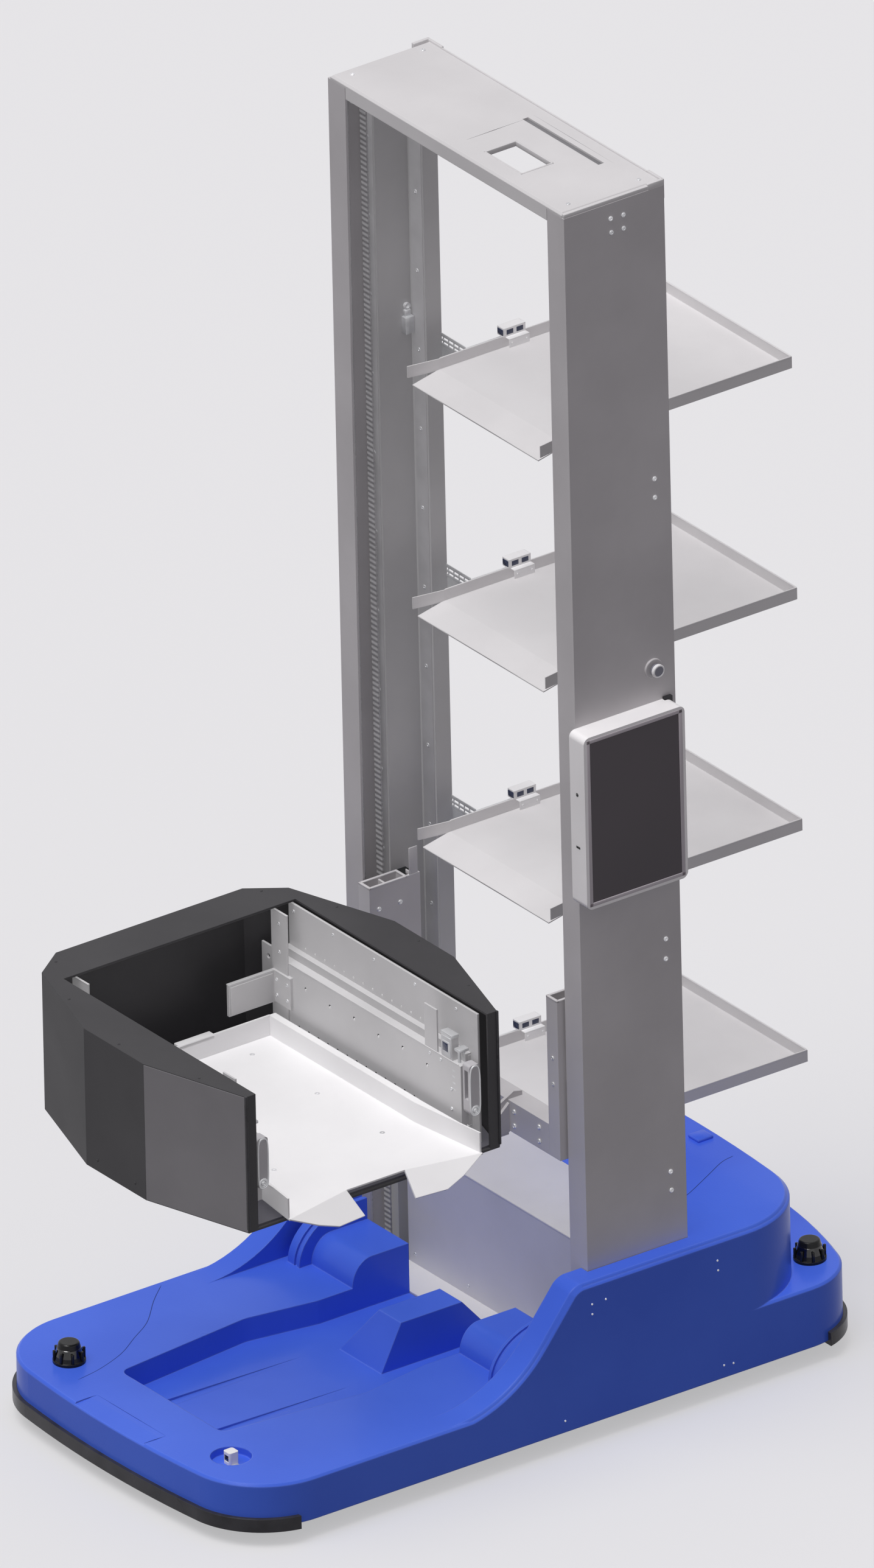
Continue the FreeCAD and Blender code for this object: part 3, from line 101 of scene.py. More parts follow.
world = bpy.data.worlds.new("studio")
world.use_nodes = True
bpy.context.scene.world = world
tree = world.node_tree
fill = tree.nodes["Background"]
fill.inputs["Color"].default_value = (1.0, 0.95, 1.0, 1)
fill.inputs["Strength"].default_value = 0.26
backdrop = tree.nodes.new("ShaderNodeBackground")
backdrop.inputs["Color"].default_value = (0.82, 0.82, 0.84, 1)
swap = tree.nodes.new("ShaderNodeMixShader")
tree.links.new(seen_directly(tree), swap.inputs[0])
tree.links.new(fill.outputs[0], swap.inputs[1])
tree.links.new(backdrop.outputs[0], swap.inputs[2])
tree.links.new(swap.outputs[0], tree.nodes["World Output"].inputs["Surface"])

overhead, sideways = (-0.04, -0.36, 1), (1, 0, 0.1)
for name, energy, spread, shadow, source in (("softbox", 0.62, 40, True, overhead),
                                             ("even_fill", 1.78, 20, False, overhead),
                                             ("side_fill", 0.17, 60, False, sideways)):
    lamp = bpy.data.objects.new(name, bpy.data.lights.new(name, "SUN"))
    lamp.data.energy = energy
    lamp.data.angle = math.radians(spread)
    lamp.data.use_shadow = shadow
    lamp.matrix_world = Vector(source).to_track_quat("Z", "Y").to_matrix().to_4x4()
    bpy.context.scene.collection.objects.link(lamp)
bpy.context.scene.view_settings.view_transform = "Standard"


# Base housing
# One deep moulded cover of glass-fibre reinforced plastic over the running gear, sprayed
# blue and lacquered; it drops over the frame and is held by screws through its side walls.
def new_finish(name, colour, rough, metal=0.0, coat=0.0, soft_edge=0.0015, seed=0.0, shine=0.22):
    """A material with an even colour, an edge rounding and its bump, to be dressed further."""
    finish = bpy.data.materials.new(name)
    finish.use_nodes = True
    tree = finish.node_tree
    shader = tree.nodes["Principled BSDF"]
    shader.inputs["Base Color"].default_value = linear(colour)
    shader.inputs["Metallic"].default_value = metal
    shader.inputs["Specular IOR Level"].default_value = shine
    shader.inputs["Coat Weight"].default_value = coat
    shader.inputs["Coat Roughness"].default_value = 0.06
    place = tree.nodes.new("ShaderNodeTexCoord")
    shift = tree.nodes.new("ShaderNodeMapping")
    shift.inputs["Location"].default_value = (seed, seed * 1.7, -seed)
    tree.links.new(place.outputs["Object"], shift.inputs["Vector"])
    edge = tree.nodes.new("ShaderNodeBevel")
    edge.samples = 4
    edge.inputs["Radius"].default_value = soft_edge
    bump = tree.nodes.new("ShaderNodeBump")
    bump.inputs["Strength"].default_value = 1.0
    tree.links.new(edge.outputs["Normal"], bump.inputs["Normal"])
    tree.links.new(bump.outputs["Normal"], shader.inputs["Normal"])
    level = tree.nodes.new("ShaderNodeMapRange")
    level.inputs["To Min"].default_value = max(rough - 0.06, 0.03)
    level.inputs["To Max"].default_value = min(rough + 0.06, 1.0)
    tree.links.new(level.outputs["Result"], shader.inputs["Roughness"])
    cloud = noise(tree, shift, 9.0, 3.0)
    tree.links.new(cloud, level.inputs["Value"])
    return finish, tree, shader, shift, bump, edge


def noise(tree, vector, scale, detail, stretch=None):
    """Smooth random clouds on object coordinates, drawn out along an axis if asked."""
    source = vector.outputs[0]
    if stretch:
        squeeze = tree.nodes.new("ShaderNodeMapping")
        squeeze.inputs["Scale"].default_value = stretch
        tree.links.new(source, squeeze.inputs["Vector"])
        source = squeeze.outputs[0]
    cloud = tree.nodes.new("ShaderNodeTexNoise")
    cloud.inputs["Scale"].default_value = scale
    cloud.inputs["Detail"].default_value = detail
    tree.links.new(source, cloud.inputs["Vector"])
    return cloud.outputs[0]


def pimple(tree, shift, bump, depth, scale, detail=2.0, stretch=None):
    """Raises the bump by fine noise of a depth and a scale."""
    bump.inputs["Distance"].default_value = depth
    tree.links.new(noise(tree, shift, scale, detail, stretch), bump.inputs["Height"])


def plain(name, colour, rough, depth, scale, coat=0.0, seed=0.0):
    """One even colour with a fine bump, for lines, holes and dark windows."""
    finish, tree, _, shift, bump, _ = new_finish(name, colour, rough, coat=coat, seed=seed)
    pimple(tree, shift, bump, depth, scale)
    return finish


def two_tones(tree, shader, mask, low, high, start=0.35, end=0.65):
    """Varies the base colour between two near tones by a mask."""
    ramp = tree.nodes.new("ShaderNodeValToRGB")
    ramp.color_ramp.elements[0].position = start
    ramp.color_ramp.elements[0].color = linear(low)
    ramp.color_ramp.elements[1].position = end
    ramp.color_ramp.elements[1].color = linear(high)
    tree.links.new(mask, ramp.inputs["Fac"])
    tree.links.new(ramp.outputs["Color"], shader.inputs["Base Color"])
    return ramp


def rubbed_and_highlit_edges(tree, shader, edge, ramp, colour, amount):
    """Lightens the colour where the surface turns a corner: partly rubbed paint, partly a painted highlight."""
    flat = tree.nodes.new("ShaderNodeNewGeometry")
    dot = tree.nodes.new("ShaderNodeVectorMath")
    dot.operation = "DOT_PRODUCT"
    tree.links.new(edge.outputs["Normal"], dot.inputs[0])
    tree.links.new(flat.outputs["Normal"], dot.inputs[1])
    pale_edge_mask = tree.nodes.new("ShaderNodeMapRange")
    pale_edge_mask.inputs["From Min"].default_value = 0.995
    pale_edge_mask.inputs["From Max"].default_value = 0.80
    pale_edge_mask.inputs["To Max"].default_value = amount
    tree.links.new(dot.outputs["Value"], pale_edge_mask.inputs["Value"])
    blend = tree.nodes.new("ShaderNodeMix")
    blend.data_type = "RGBA"
    blend.inputs["B"].default_value = linear(colour)
    tree.links.new(pale_edge_mask.outputs["Result"], blend.inputs["Factor"])
    tree.links.new(ramp.outputs["Color"], blend.inputs["A"])
    tree.links.new(blend.outputs["Result"], shader.inputs["Base Color"])


def clouded(name, low, high, rough, cloud, rub_and_highlight_colour, rub_and_highlight, **look):
    """A finish clouded between two tones and paler at its corners (rubbed paint and painted highlight), and what
    its bump needs.
    """
    finish, tree, shader, shift, bump, edge = new_finish(name, low, rough, **look)
    ramp = two_tones(tree, shader, noise(tree, shift, *cloud), low, high)
    rubbed_and_highlit_edges(tree, shader, edge, ramp, rub_and_highlight_colour, rub_and_highlight)
    return finish, tree, shift, bump


def lacquered(name, low, high, rub_and_highlight_colour):
    """Sprayed and lacquered moulding: faint clouding, orange peel and paler edges that are partly a painted
    highlight.
    """
    finish, *surface = clouded(name, low, high, 0.30, (3.0, 4.0), rub_and_highlight_colour, 0.55, coat=0.05, soft_edge=0.004,
                               shine=0.10)
    pimple(*surface, 0.00012, 260.0)
    return finish


def dress(finish, *nodes):
    """Gives carried-over nodes their finish."""
    for node in nodes:
        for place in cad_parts[node].material_slots:
            place.material = finish


def fit(name, shape, body, finish):
    """Makes a finished piece of a bmesh, rides it on its body and gives it its finish."""
    bmesh.ops.recalc_face_normals(shape, faces=shape.faces)
    mesh = bpy.data.meshes.new(name)
    shape.to_mesh(mesh)
    shape.free()
    for face in mesh.polygons:
        face.use_smooth = True
    mesh.set_sharp_from_angle(angle=0.55)
    mesh.materials.append(finish)
    piece = bpy.data.objects.new(name, mesh)
    bpy.context.scene.collection.objects.link(piece)
    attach(piece, body)


def add_block(shape, low, high, round_edge=0.0):
    """A block between any two opposite corners, with its edges broken."""
    size = [abs(b - a) for a, b in zip(low, high)]
    middle = [(a + b) / 2 for a, b in zip(low, high)]
    made = bmesh.ops.create_cube(shape, size=1, matrix=Matrix.Translation(middle) @ Matrix.Diagonal((*size, 1)))
    if round_edge:
        corners = set(made["verts"])
        edges = [e for e in shape.edges if e.verts[0] in corners and e.verts[1] in corners]
        bmesh.ops.bevel(shape, geom=edges, offset=round_edge, offset_type="OFFSET", segments=2, profile=0.5,
                        affect="EDGES", material=-1, clamp_overlap=True)


def add_prism(shape, corners, rise):
    """A flat face between corners, drawn out along a vector."""
    face = shape.faces.new([shape.verts.new(corner) for corner in corners])
    moved = bmesh.ops.extrude_face_region(shape, geom=[face])
    bmesh.ops.translate(shape, vec=rise, verts=[v for v in moved["geom"] if isinstance(v, bmesh.types.BMVert)])


def facing(axis, place):
    """A matrix that stands a shape made along Z on a place, pointing along an axis."""
    return Matrix.Translation(place) @ Vector(axis).to_track_quat("Z", "Y").to_matrix().to_4x4()


def add_turned(shape, axis, place, profile, steps=24):
    """A turned solid: a profile of (radius, height) spun about an axis from its foot."""
    stand = facing(axis, place)
    points = [shape.verts.new(stand @ Vector((r, 0, h))) for r, h in profile]
    edges = [shape.edges.new(pair) for pair in zip(points, points[1:])]
    origin = stand @ Vector((0, 0, 0))
    bmesh.ops.spin(shape, geom=points + edges, cent=origin, axis=(stand.to_3x3() @ Vector((0, 0, 1))),
                   angle=math.tau, steps=steps, use_merge=True)
    bmesh.ops.remove_doubles(shape, verts=shape.verts, dist=0.00001)


def smooth_path(points, steps=6):
    """More points on a smooth line through a few (a Catmull-Rom spline)."""
    ends = [Vector(points[0]) * 2 - Vector(points[1]), Vector(points[-1]) * 2 - Vector(points[-2])]
    line = [ends[0]] + [Vector(p) for p in points] + [ends[1]]
    path = []
    for a, b, c, d in zip(line, line[1:], line[2:], line[3:]):
        for k in range(steps):
            t = k / steps
            path.append((b * 2 + (c - a) * t + (a * 2 - b * 5 + c * 4 - d) * t ** 2
                         + (b * 3 - a - c * 3 + d) * t ** 3) / 2)
    return path + [Vector(points[-1])]


def add_strip(shape, points, normal, width, height):
    """A thin raised line laid along points on a surface, with pointed ends."""
    normal = Vector(normal)
    rows = []
    for index, point in enumerate(points):
        before = Vector(points[max(index - 1, 0)])
        after = Vector(points[min(index + 1, len(points) - 1)])
        side = (after - before).normalized().cross(normal).normalized()
        share = 0.25 if index in (0, len(points) - 1) else 1.0
        foot = Vector(point) - normal * 0.0006
        rows.append([shape.verts.new(foot - side * width / 2 * share),
                     shape.verts.new(Vector(point) + normal * height * share),
                     shape.verts.new(foot + side * width / 2 * share)])
    for one, two in zip(rows, rows[1:]):
        for k in (0, 1, 2):
            shape.faces.new((one[k], one[(k + 1) % 3], two[(k + 1) % 3], two[k]))
    shape.faces.new(rows[0])
    shape.faces.new(rows[-1][::-1])


# Its paler blue edges are partly a painted highlight.
blue = lacquered("blue_lacquer", "4568DC", "4C70E4", "7C98FF")
dress(blue, "base_cover")

seam_dark = plain("seam_shadow", "22387F", 0.6, 0.0001, 400.0, seed=2.0)

# Deck seams
# Fine moulded lines on the cover: the parting line that sweeps over the front deck, and the
# edge of the service lid with its raised lug behind the mast, all in the same moulding.
deck_z, block_z = 0.116, 0.304
seams = bmesh.new()
sweep = [(-0.372, -0.305), (-0.330, -0.352), (-0.272, -0.408), (-0.236, -0.462), (-0.202, -0.514),
         (-0.178, -0.576), (-0.167, -0.631)]
add_strip(seams, smooth_path([(x, y, deck_z) for x, y in sweep]), (0, 0, 1), 0.0030, 0.0005)
lid_line = [(0.222, 0.372), (0.208, 0.403), (0.176, 0.462), (0.150, 0.510), (0.143, 0.540)]
add_strip(seams, smooth_path([(x, y, block_z) for x, y in lid_line]), (0, 0, 1), 0.0034, 0.0005)
fit("deck_seams", seams, "robot", seam_dark)

ridge = bmesh.new()
add_block(ridge, (0.036, 0.520, block_z - 0.001), (0.068, 0.553, block_z + 0.006), 0.0028)
fit("lid_ridge", ridge, "robot", blue)

# Side screws
# Small zinc pan-head screws that hold the cover's side walls to the frame, the same on both
# sides: three at the mast block, two behind it and three along the foot.
def add_screw(shape, axis, place, radius, height):
    """A pan head with a round drive recess."""
    profile = [(0, -0.001), (radius, -0.001), (radius, height * 0.45), (radius * 0.82, height * 0.85),
               (radius * 0.42, height), (radius * 0.36, height * 0.45), (0, height * 0.45)]
    add_turned(shape, axis, place, profile, steps=16)


def bright_metal(name, low, high, rough, grain=(1.0, 1.0, 1.0), seed=0.0, metal=1.0):
    """Bare or plated metal with fine drawn marks along one axis and cloudy handling marks."""
    finish, *surface = clouded(name, low, high, rough, (14.0, 4.0), "FFFFFF", 0.30, metal=metal, soft_edge=0.0008,
                               seed=seed)
    pimple(*surface, 0.00006, 700.0, stretch=grain)
    return finish


zinc = bright_metal("zinc_screws", "C9CACC", "F0F0F2", 0.34, seed=3.0, metal=0.5)
cover_half = 0.385
screws = bmesh.new()
for y, z in ((0.063, 0.263), (0.092, 0.264), (0.063, 0.244), (0.329, 0.264), (0.330, 0.245), (0.338, 0.060),
             (0.358, 0.058), (0.001, 0.058)):
    for side in (-1, 1):
        add_screw(screws, (side, 0, 0), (side * cover_half, y, z), 0.0020, 0.0012)
fit("side_screws", screws, "robot", zinc)

# Front pocket
# A shallow tapered pocket in the middle of the front edge, where the cover is gripped to lift
# it; its rim has a fine raised lip, moulded and lacquered in one with the cover.
edging = bmesh.new()
for side in (-1, 1):
    line = [(side * 0.100, y, z) for y, z in ((-0.684, 0.1165), (-0.660, 0.1163), (-0.640, 0.1161))]
    add_strip(edging, line, (0, 0, 1), 0.0030, 0.0008)
add_strip(edging, [(x, -0.6385, 0.1161) for x in (-0.100, 0, 0.100)], (0, 0, 1), 0.0026, 0.0008)
fit("pocket_edging", edging, "robot", blue)


# Bumpers
# Two extruded rubber strips clipped on the foot of the cover, round the front and the rear.
# Black, semi-gloss and plain.
def rubber(name, low, high, rough, pores=900.0, depth=0.00012, seed=0.0):
    """Moulded rubber or soft plastic: fine pores and a dusty bloom."""
    finish, *surface = clouded(name, low, high, rough, (22.0, 5.0), "6A6A6A", 0.22, soft_edge=0.002, seed=seed)
    pimple(*surface, depth, pores, 3.0)
    return finish


bumper_black = rubber("bumper_rubber", "2C2B2E", "3A393D", 0.28, seed=5.0)
for end in ("front_bumper", "rear_bumper"):
    dress(bumper_black, end)
    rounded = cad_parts[end].modifiers.new("rounded", "BEVEL")
    rounded.width = 0.004
    rounded.segments = 3
    rounded.limit_method = "ANGLE"
    rounded.angle_limit = math.radians(40)

# Scanner heads
# Two obstacle scanners screwed on the deck: a tapered black housing with a flat top, a smoked
# window all round and small upright ribs that guard it.
scanner_black = rubber("scanner_housing", "121212", "1C1C1C", 0.22, pores=1400.0, depth=0.00005, seed=6.0)
smoked = plain("smoked_window", "0A0A0C", 0.07, 0.00002, 40.0, coat=1.0, seed=7.0)
for name, x, y, z in (("front", -0.235, -0.600, deck_z), ("rear", 0.292, 0.590, 0.150)):
    dress(scanner_black, "lidar_" + name)
    window = bmesh.new()
    glazing = [(0.0232, 0.0125), (0.0247, 0.0135), (0.0212, 0.0275), (0.0200, 0.0285), (0.0232, 0.0125)]
    add_turned(window, (0, 0, 1), (x, y, z), glazing, steps=48)
    fit("scanner_window_" + name, window, "robot", smoked)
    trim = bmesh.new()
    for k in range(8):
        angle = (k + 0.5) * math.tau / 8
        stand_x, stand_y = x + math.cos(angle) * 0.0262, y + math.sin(angle) * 0.0262
        add_block(trim, (stand_x - 0.0022, stand_y - 0.0022, z + 0.003),
                  (stand_x + 0.0022, stand_y + 0.0022, z + 0.024), 0.0007)
    fit("scanner_trim_" + name, trim, "robot", scanner_black)

# Corner sensor
# A small white ranging sensor in a round recess of the deck, front right, looking forwards
# through a dark lens; a moulded housing on a bent steel foot.
def moulded(name, low, high, rough, seed=0.0):
    """Injection-moulded plastic with a fine leather grain."""
    finish, tree, shift, bump = clouded(name, low, high, rough, (5.0, 3.0), "FFFFFF", 0.18, soft_edge=0.0016,
                                        seed=seed)
    cells = tree.nodes.new("ShaderNodeTexVoronoi")
    cells.inputs["Scale"].default_value = 900.0
    tree.links.new(shift.outputs[0], cells.inputs["Vector"])
    bump.inputs["Distance"].default_value = 0.0001
    tree.links.new(cells.outputs["Distance"], bump.inputs["Height"])
    return finish


sensor_white = moulded("sensor_housing", "ECEBEC", "F8F7F8", 0.4, seed=8.0)
dress(sensor_white, "corner_sensor")
lens = bmesh.new()
add_block(lens, (0.2252, -0.6042, 0.1085), (0.2368, -0.6030, 0.1195), 0.0006)
for x in (0.2283, 0.2337):
    add_turned(lens, (0, -1, 0), (x, -0.6041, 0.114),
               [(0, 0), (0.0024, 0), (0.0024, 0.0006), (0.0014, 0.0011), (0, 0.0012)])
fit("sensor_lens", lens, "robot", smoked)
foot = bmesh.new()
add_block(foot, (0.2405, -0.602, 0.1018), (0.2510, -0.588, 0.1036), 0.0006)
add_screw(foot, (0, 0, 1), (0.2462, -0.595, 0.1036), 0.0022, 0.0014)
fit("sensor_foot", foot, "robot", zinc)

# Frame and equipment under the cover
# A welded steel floor frame with caster cups, powder-coated dark grey. On it stand the
# battery in a moulded case, two ribbed aluminium electronics boxes and the drive motors.
def powder_coat(name, low, high, rub_and_highlight_colour, rough=0.5, seed=0.0, grain=0.00012, rub_and_highlight=0.35):
    """Sprayed and baked powder: an even fine pimple, faint clouding and paler edges, partly rubbed and partly a
    painted highlight.
    """
    finish, *surface = clouded(name, low, high, rough, (4.0, 5.0), rub_and_highlight_colour, rub_and_highlight, soft_edge=0.0016, seed=seed)
    pimple(*surface, grain, 620.0)
    return finish


frame_grey = powder_coat("frame_coat", "3A3B3D", "47484A", "8A8A8A", seed=9.0)
battery_case = moulded("battery_case", "26282B", "303236", 0.5, seed=10.0)
box_metal = bright_metal("box_aluminium", "A8ABAE", "C6C9CB", 0.38, (1, 30, 1), seed=11.0)
motor_black = powder_coat("motor_coat", "1C1D1F", "292A2C", "77787A", 0.42, seed=12.0)
dress(frame_grey, "base_frame")
dress(battery_case, "battery_pack")
dress(box_metal, "control_box", "drive_inverter")
dress(motor_black, "drive_motors")
fixings = bmesh.new()
for x in (-0.300, -0.150, 0.0, 0.150, 0.300):
    for y in (-0.180, 0.300, 0.600):
        rear_corner = abs(x) > 0.29 and y > 0.5
        if not rear_corner:
            add_screw(fixings, (0, 0, -1), (x, y, 0.038), 0.006, 0.003)
for x, lid_z in ((-0.318, 0.094), (-0.217, 0.094), (0.217, 0.086), (0.318, 0.086)):
    for y in (-0.380, -0.220):
        add_screw(fixings, (0, 0, 1), (x, y, lid_z), 0.0035, 0.002)
fit("frame_screws", fixings, "robot", zinc)
terminals = bmesh.new()
for x in (-0.040, 0.040):
    add_turned(terminals, (0, 0, 1), (x, 0.345, 0.219),
               [(0, 0), (0.011, 0), (0.011, 0.010), (0.008, 0.014), (0, 0.014)])
add_block(terminals, (-0.070, 0.440, 0.219), (0.070, 0.500, 0.2215), 0.001)
fit("battery_terminals", terminals, "robot", bumper_black)

# Drive wheels
# Two driven wheels amidships: a cast hub with six holes and a bonded polyurethane tyre.
# The tread blocks are cut across the tyre, and six bolts hold the hub on its flange.
tyre = rubber("drive_tyre", "2B2C2E", "38393B", 0.62, pores=500.0, depth=0.0002, seed=13.0)
hub_metal = bright_metal("cast_hub", "8E9194", "B2B5B8", 0.45, seed=14.0)
axle_y, axle_z = -0.008, 0.062
wheel_radius = 0.062
blocks = 36
for name, side in (("left", -1), ("right", 1)):
    dress(tyre, "drive_wheel_" + name)
    hub = bmesh.new()
    inner, outer = side * 0.1895, side * 0.2200
    add_turned(hub, (side, 0, 0), (outer, axle_y, axle_z),
               [(0.0095, -0.001), (0.0530, -0.001), (0.0530, 0.0012), (0.0500, 0.0020), (0.0460, 0.0008),
                (0.0180, 0.0008), (0.0160, 0.0050), (0.0095, 0.0050), (0.0095, -0.001)], steps=48)
    add_turned(hub, (-side, 0, 0), (inner, axle_y, axle_z),
               [(0, -0.001), (0.0200, -0.001), (0.0200, 0.0040), (0.0120, 0.0070), (0, 0.0070)], steps=48)
    for k in range(6):
        angle = math.radians(30 + 60 * k)
        y, z = axle_y + 0.036 * math.cos(angle), axle_z + 0.036 * math.sin(angle)
        add_screw(hub, (-side, 0, 0), (inner, y, z), 0.0045, 0.0035)
    fit("wheel_hub_" + name, hub, "drive_wheel_" + name, hub_metal)
    tread = bmesh.new()
    for k in range(blocks):
        angle = k * math.tau / blocks
        bmesh.ops.create_cube(tread, size=1, matrix=Matrix.Translation((side * 0.200, axle_y, axle_z))
                              @ Matrix.Rotation(angle, 4, "X") @ Matrix.Translation((0, 0, wheel_radius + 0.0001))
                              @ Matrix.Diagonal((0.028, 0.0075, 0.0012, 1)))
    fit("tyre_tread_" + name, tread, "drive_wheel_" + name, tyre)

# Casters
# Four swivel casters near the corners, each with a pressed zinc fork on a pin and a grey
# tyre on a plain bearing; an axle nut each side and a dust ring over the swivel.
caster_zinc = bright_metal("caster_zinc", "A7A9AC", "CBCDD0", 0.36, seed=15.0)
caster_tyre = rubber("caster_tyre", "3F4143", "4C4E50", 0.6, seed=16.0)
trail, caster_axle_z = 0.022, 0.035
for number, (x, y) in enumerate(((0.262, -0.465), (-0.262, -0.465), (0.250, 0.540), (-0.250, 0.540)), start=1):
    dress(caster_zinc, f"caster_fork_{number}")
    dress(caster_tyre, f"caster_wheel_{number}")
    nuts = bmesh.new()
    for side in (-1, 1):
        bmesh.ops.create_cone(nuts, cap_ends=True, segments=6, radius1=0.0068, radius2=0.0060, depth=0.004,
                              matrix=facing((side, 0, 0), (x + side * 0.0195, y + trail, caster_axle_z)))
    add_turned(nuts, (0, 0, -1), (x, y, 0.0895), [(0.0175, 0), (0.0235, 0), (0.0235, 0.004), (0.0190, 0.007),
                                                  (0.0175, 0.007), (0.0175, 0)], steps=32)
    fit(f"caster_nuts_{number}", nuts, f"caster_fork_{number}", caster_zinc)
    rims = bmesh.new()
    for side in (-1, 1):
        add_turned(rims, (side, 0, 0), (x + side * 0.0118, y + trail, caster_axle_z),
                   [(0.0045, 0), (0.0250, 0), (0.0250, 0.0006), (0.0225, 0.0012), (0.0090, 0.0004),
                    (0.0075, 0.0012), (0.0045, 0.0012), (0.0045, 0)], steps=32)
    fit(f"caster_rims_{number}", rims, f"caster_wheel_{number}", sensor_white)

# Mast columns and guide rails
# Two tall columns folded from steel sheet, joined at the top by a channel, with a drawn
# guide rail welded inside each. All powder-coated light grey; zinc screws hold the inside.
column_grey = powder_coat("column_coat", "BDBABC", "C9C6C8", "F4F3F4", 0.46, seed=17.0)
rail_grey = powder_coat("rail_coat", "BEBDBE", "C8C7C8", "F4F4F4", 0.42, seed=18.0)
dress(column_grey, "mast_column_left", "mast_column_right")
dress(rail_grey, "guide_rails", "mast_top_tie")
mast_half = 0.345
screws = bmesh.new()
for y, z in ((0.182, 2.297), (0.209, 2.296), (0.183, 2.270), (0.209, 2.270), (0.262, 1.772), (0.262, 1.736),
             (0.264, 0.887), (0.263, 0.849), (0.263, 0.440), (0.264, 0.404), (0.262, 1.331), (0.262, 1.293)):
    for side in (-1, 1):
        behind_panel = side > 0 and 1.2 < z < 1.4
        if not behind_panel:
            add_screw(screws, (side, 0, 0), (side * mast_half, y, z), 0.0046, 0.0026)
fit("column_screws", screws, "robot", zinc)

# Rail wear strips and screws
# Light grey strips that the carriage shoes slide on, screwed to the face of each guide rail.
# A zinc limit switch with a small roller is fixed beside the left rail.
strip_grey = bright_metal("rail_strip", "B8B7B9", "C4C3C5", 0.4, (20, 20, 1), seed=19.0, metal=0.05)
strips = bmesh.new()
for side in (-1, 1):
    add_block(strips, (side * 0.3055, 0.1462, 0.330), (side * 0.3360, 0.1477, 2.250), 0.0005)
    add_block(strips, (side * 0.2620, 0.2158, 0.330), (side * 0.2950, 0.2172, 2.250), 0.0005)
fit("rail_strips", strips, "robot", strip_grey)
screws = bmesh.new()
for side in (-1, 1):
    for k in range(13):
        for x, y, z in ((side * 0.3208, 0.1463, 0.380), (side * 0.2785, 0.2159, 0.420)):
            add_screw(screws, (0, -1, 0), (x, y, z + k * 0.152), 0.0042, 0.0012)
fit("rail_screws", screws, "robot", zinc)
switch = bmesh.new()
add_block(switch, (-0.3012, 0.196, 1.818), (-0.2880, 0.2150, 1.850), 0.0015)
add_block(switch, (-0.3012, 0.199, 1.850), (-0.2930, 0.2120, 1.862), 0.0020)
add_turned(switch, (1, 0, 0), (-0.2975, 0.2055, 1.868),
           [(0.0035, -0.003), (0.0065, -0.003), (0.0065, 0.003), (0.0035, 0.003), (0.0035, -0.003)], steps=20)
fit("limit_switch", switch, "robot", zinc)

# Mast cap
# A folded cap plate over both columns with a square cable hole, a long slot and a lid that is
# set in flush; the seam shows as a fine line, and the slot's darker grey floor is painted
# shade. Raised tabs hook over the rear corners.
cap_grey = powder_coat("cap_coat", "D2D0D1", "DBD9DA", "FFFFFF", 0.46, seed=20.0)
dress(cap_grey, "mast_top_cover")
top_z = 2.334
lines = plain("seam_line", "57565A", 0.6, 0.0001, 500.0, seed=21.0)
seams = bmesh.new()
lid_edge = [(x, y, top_z) for x, y in ((0.008, 0.123), (0.0075, 0.180), (0.007, 0.243))]
add_strip(seams, lid_edge, (0, 0, 1), 0.0040, 0.0004)
add_strip(seams, [(x, 0.268, top_z) for x in (0.004, 0.120, 0.236)], (0, 0, 1), 0.0016, 0.0003)
fit("cap_seams", seams, "robot", lines)
tabs = bmesh.new()
for side in (-1, 1):
    add_block(tabs, (side * 0.300, 0.2925, 2.300), (side * 0.3445, 0.2975, 2.3375), 0.0010)
    add_block(tabs, (side * 0.3385, 0.262, 2.326), (side * 0.3455, 0.2965, 2.3375), 0.0010)
add_block(tabs, (-0.300, 0.2925, 2.326), (0.300, 0.2950, 2.3362), 0.0008)
fit("cap_tabs", tabs, "robot", cap_grey)
frame_lip = bmesh.new()
for x0, x1, y0, y1 in ((0.064, 0.174, 0.1180, 0.1212), (0.064, 0.174, 0.1838, 0.1870),
                       (0.064, 0.0672, 0.1180, 0.1870), (0.1708, 0.174, 0.1180, 0.1870)):
    add_block(frame_lip, (x0, y0, 2.3255), (x1, y1, 2.3350), 0.0006)
add_block(frame_lip, (0.3375, 0.0845, 2.3262), (0.3448, 0.2955, 2.3338), 0.0006)
fit("cable_hole_rim", frame_lip, "robot", cap_grey)
# The darker grey of the slot floor is painted shade in the slot.
slot_shade_grey = powder_coat("slot_shade_coat", "78777A", "828184", "A8A8A8", 0.5, seed=20.5)
slot_floor = bmesh.new()
add_block(slot_floor, (0.0045, 0.2445, 2.3288), (0.2255, 0.2555, 2.3306), 0.0003)
fit("slot_floor", slot_floor, "robot", slot_shade_grey)
screws = bmesh.new()
for x in (-0.315, 0.315):
    for y in (0.115, 0.265):
        add_screw(screws, (0, 0, 1), (x, y, top_z), 0.0040, 0.0018)
fit("cap_screws", screws, "robot", zinc)

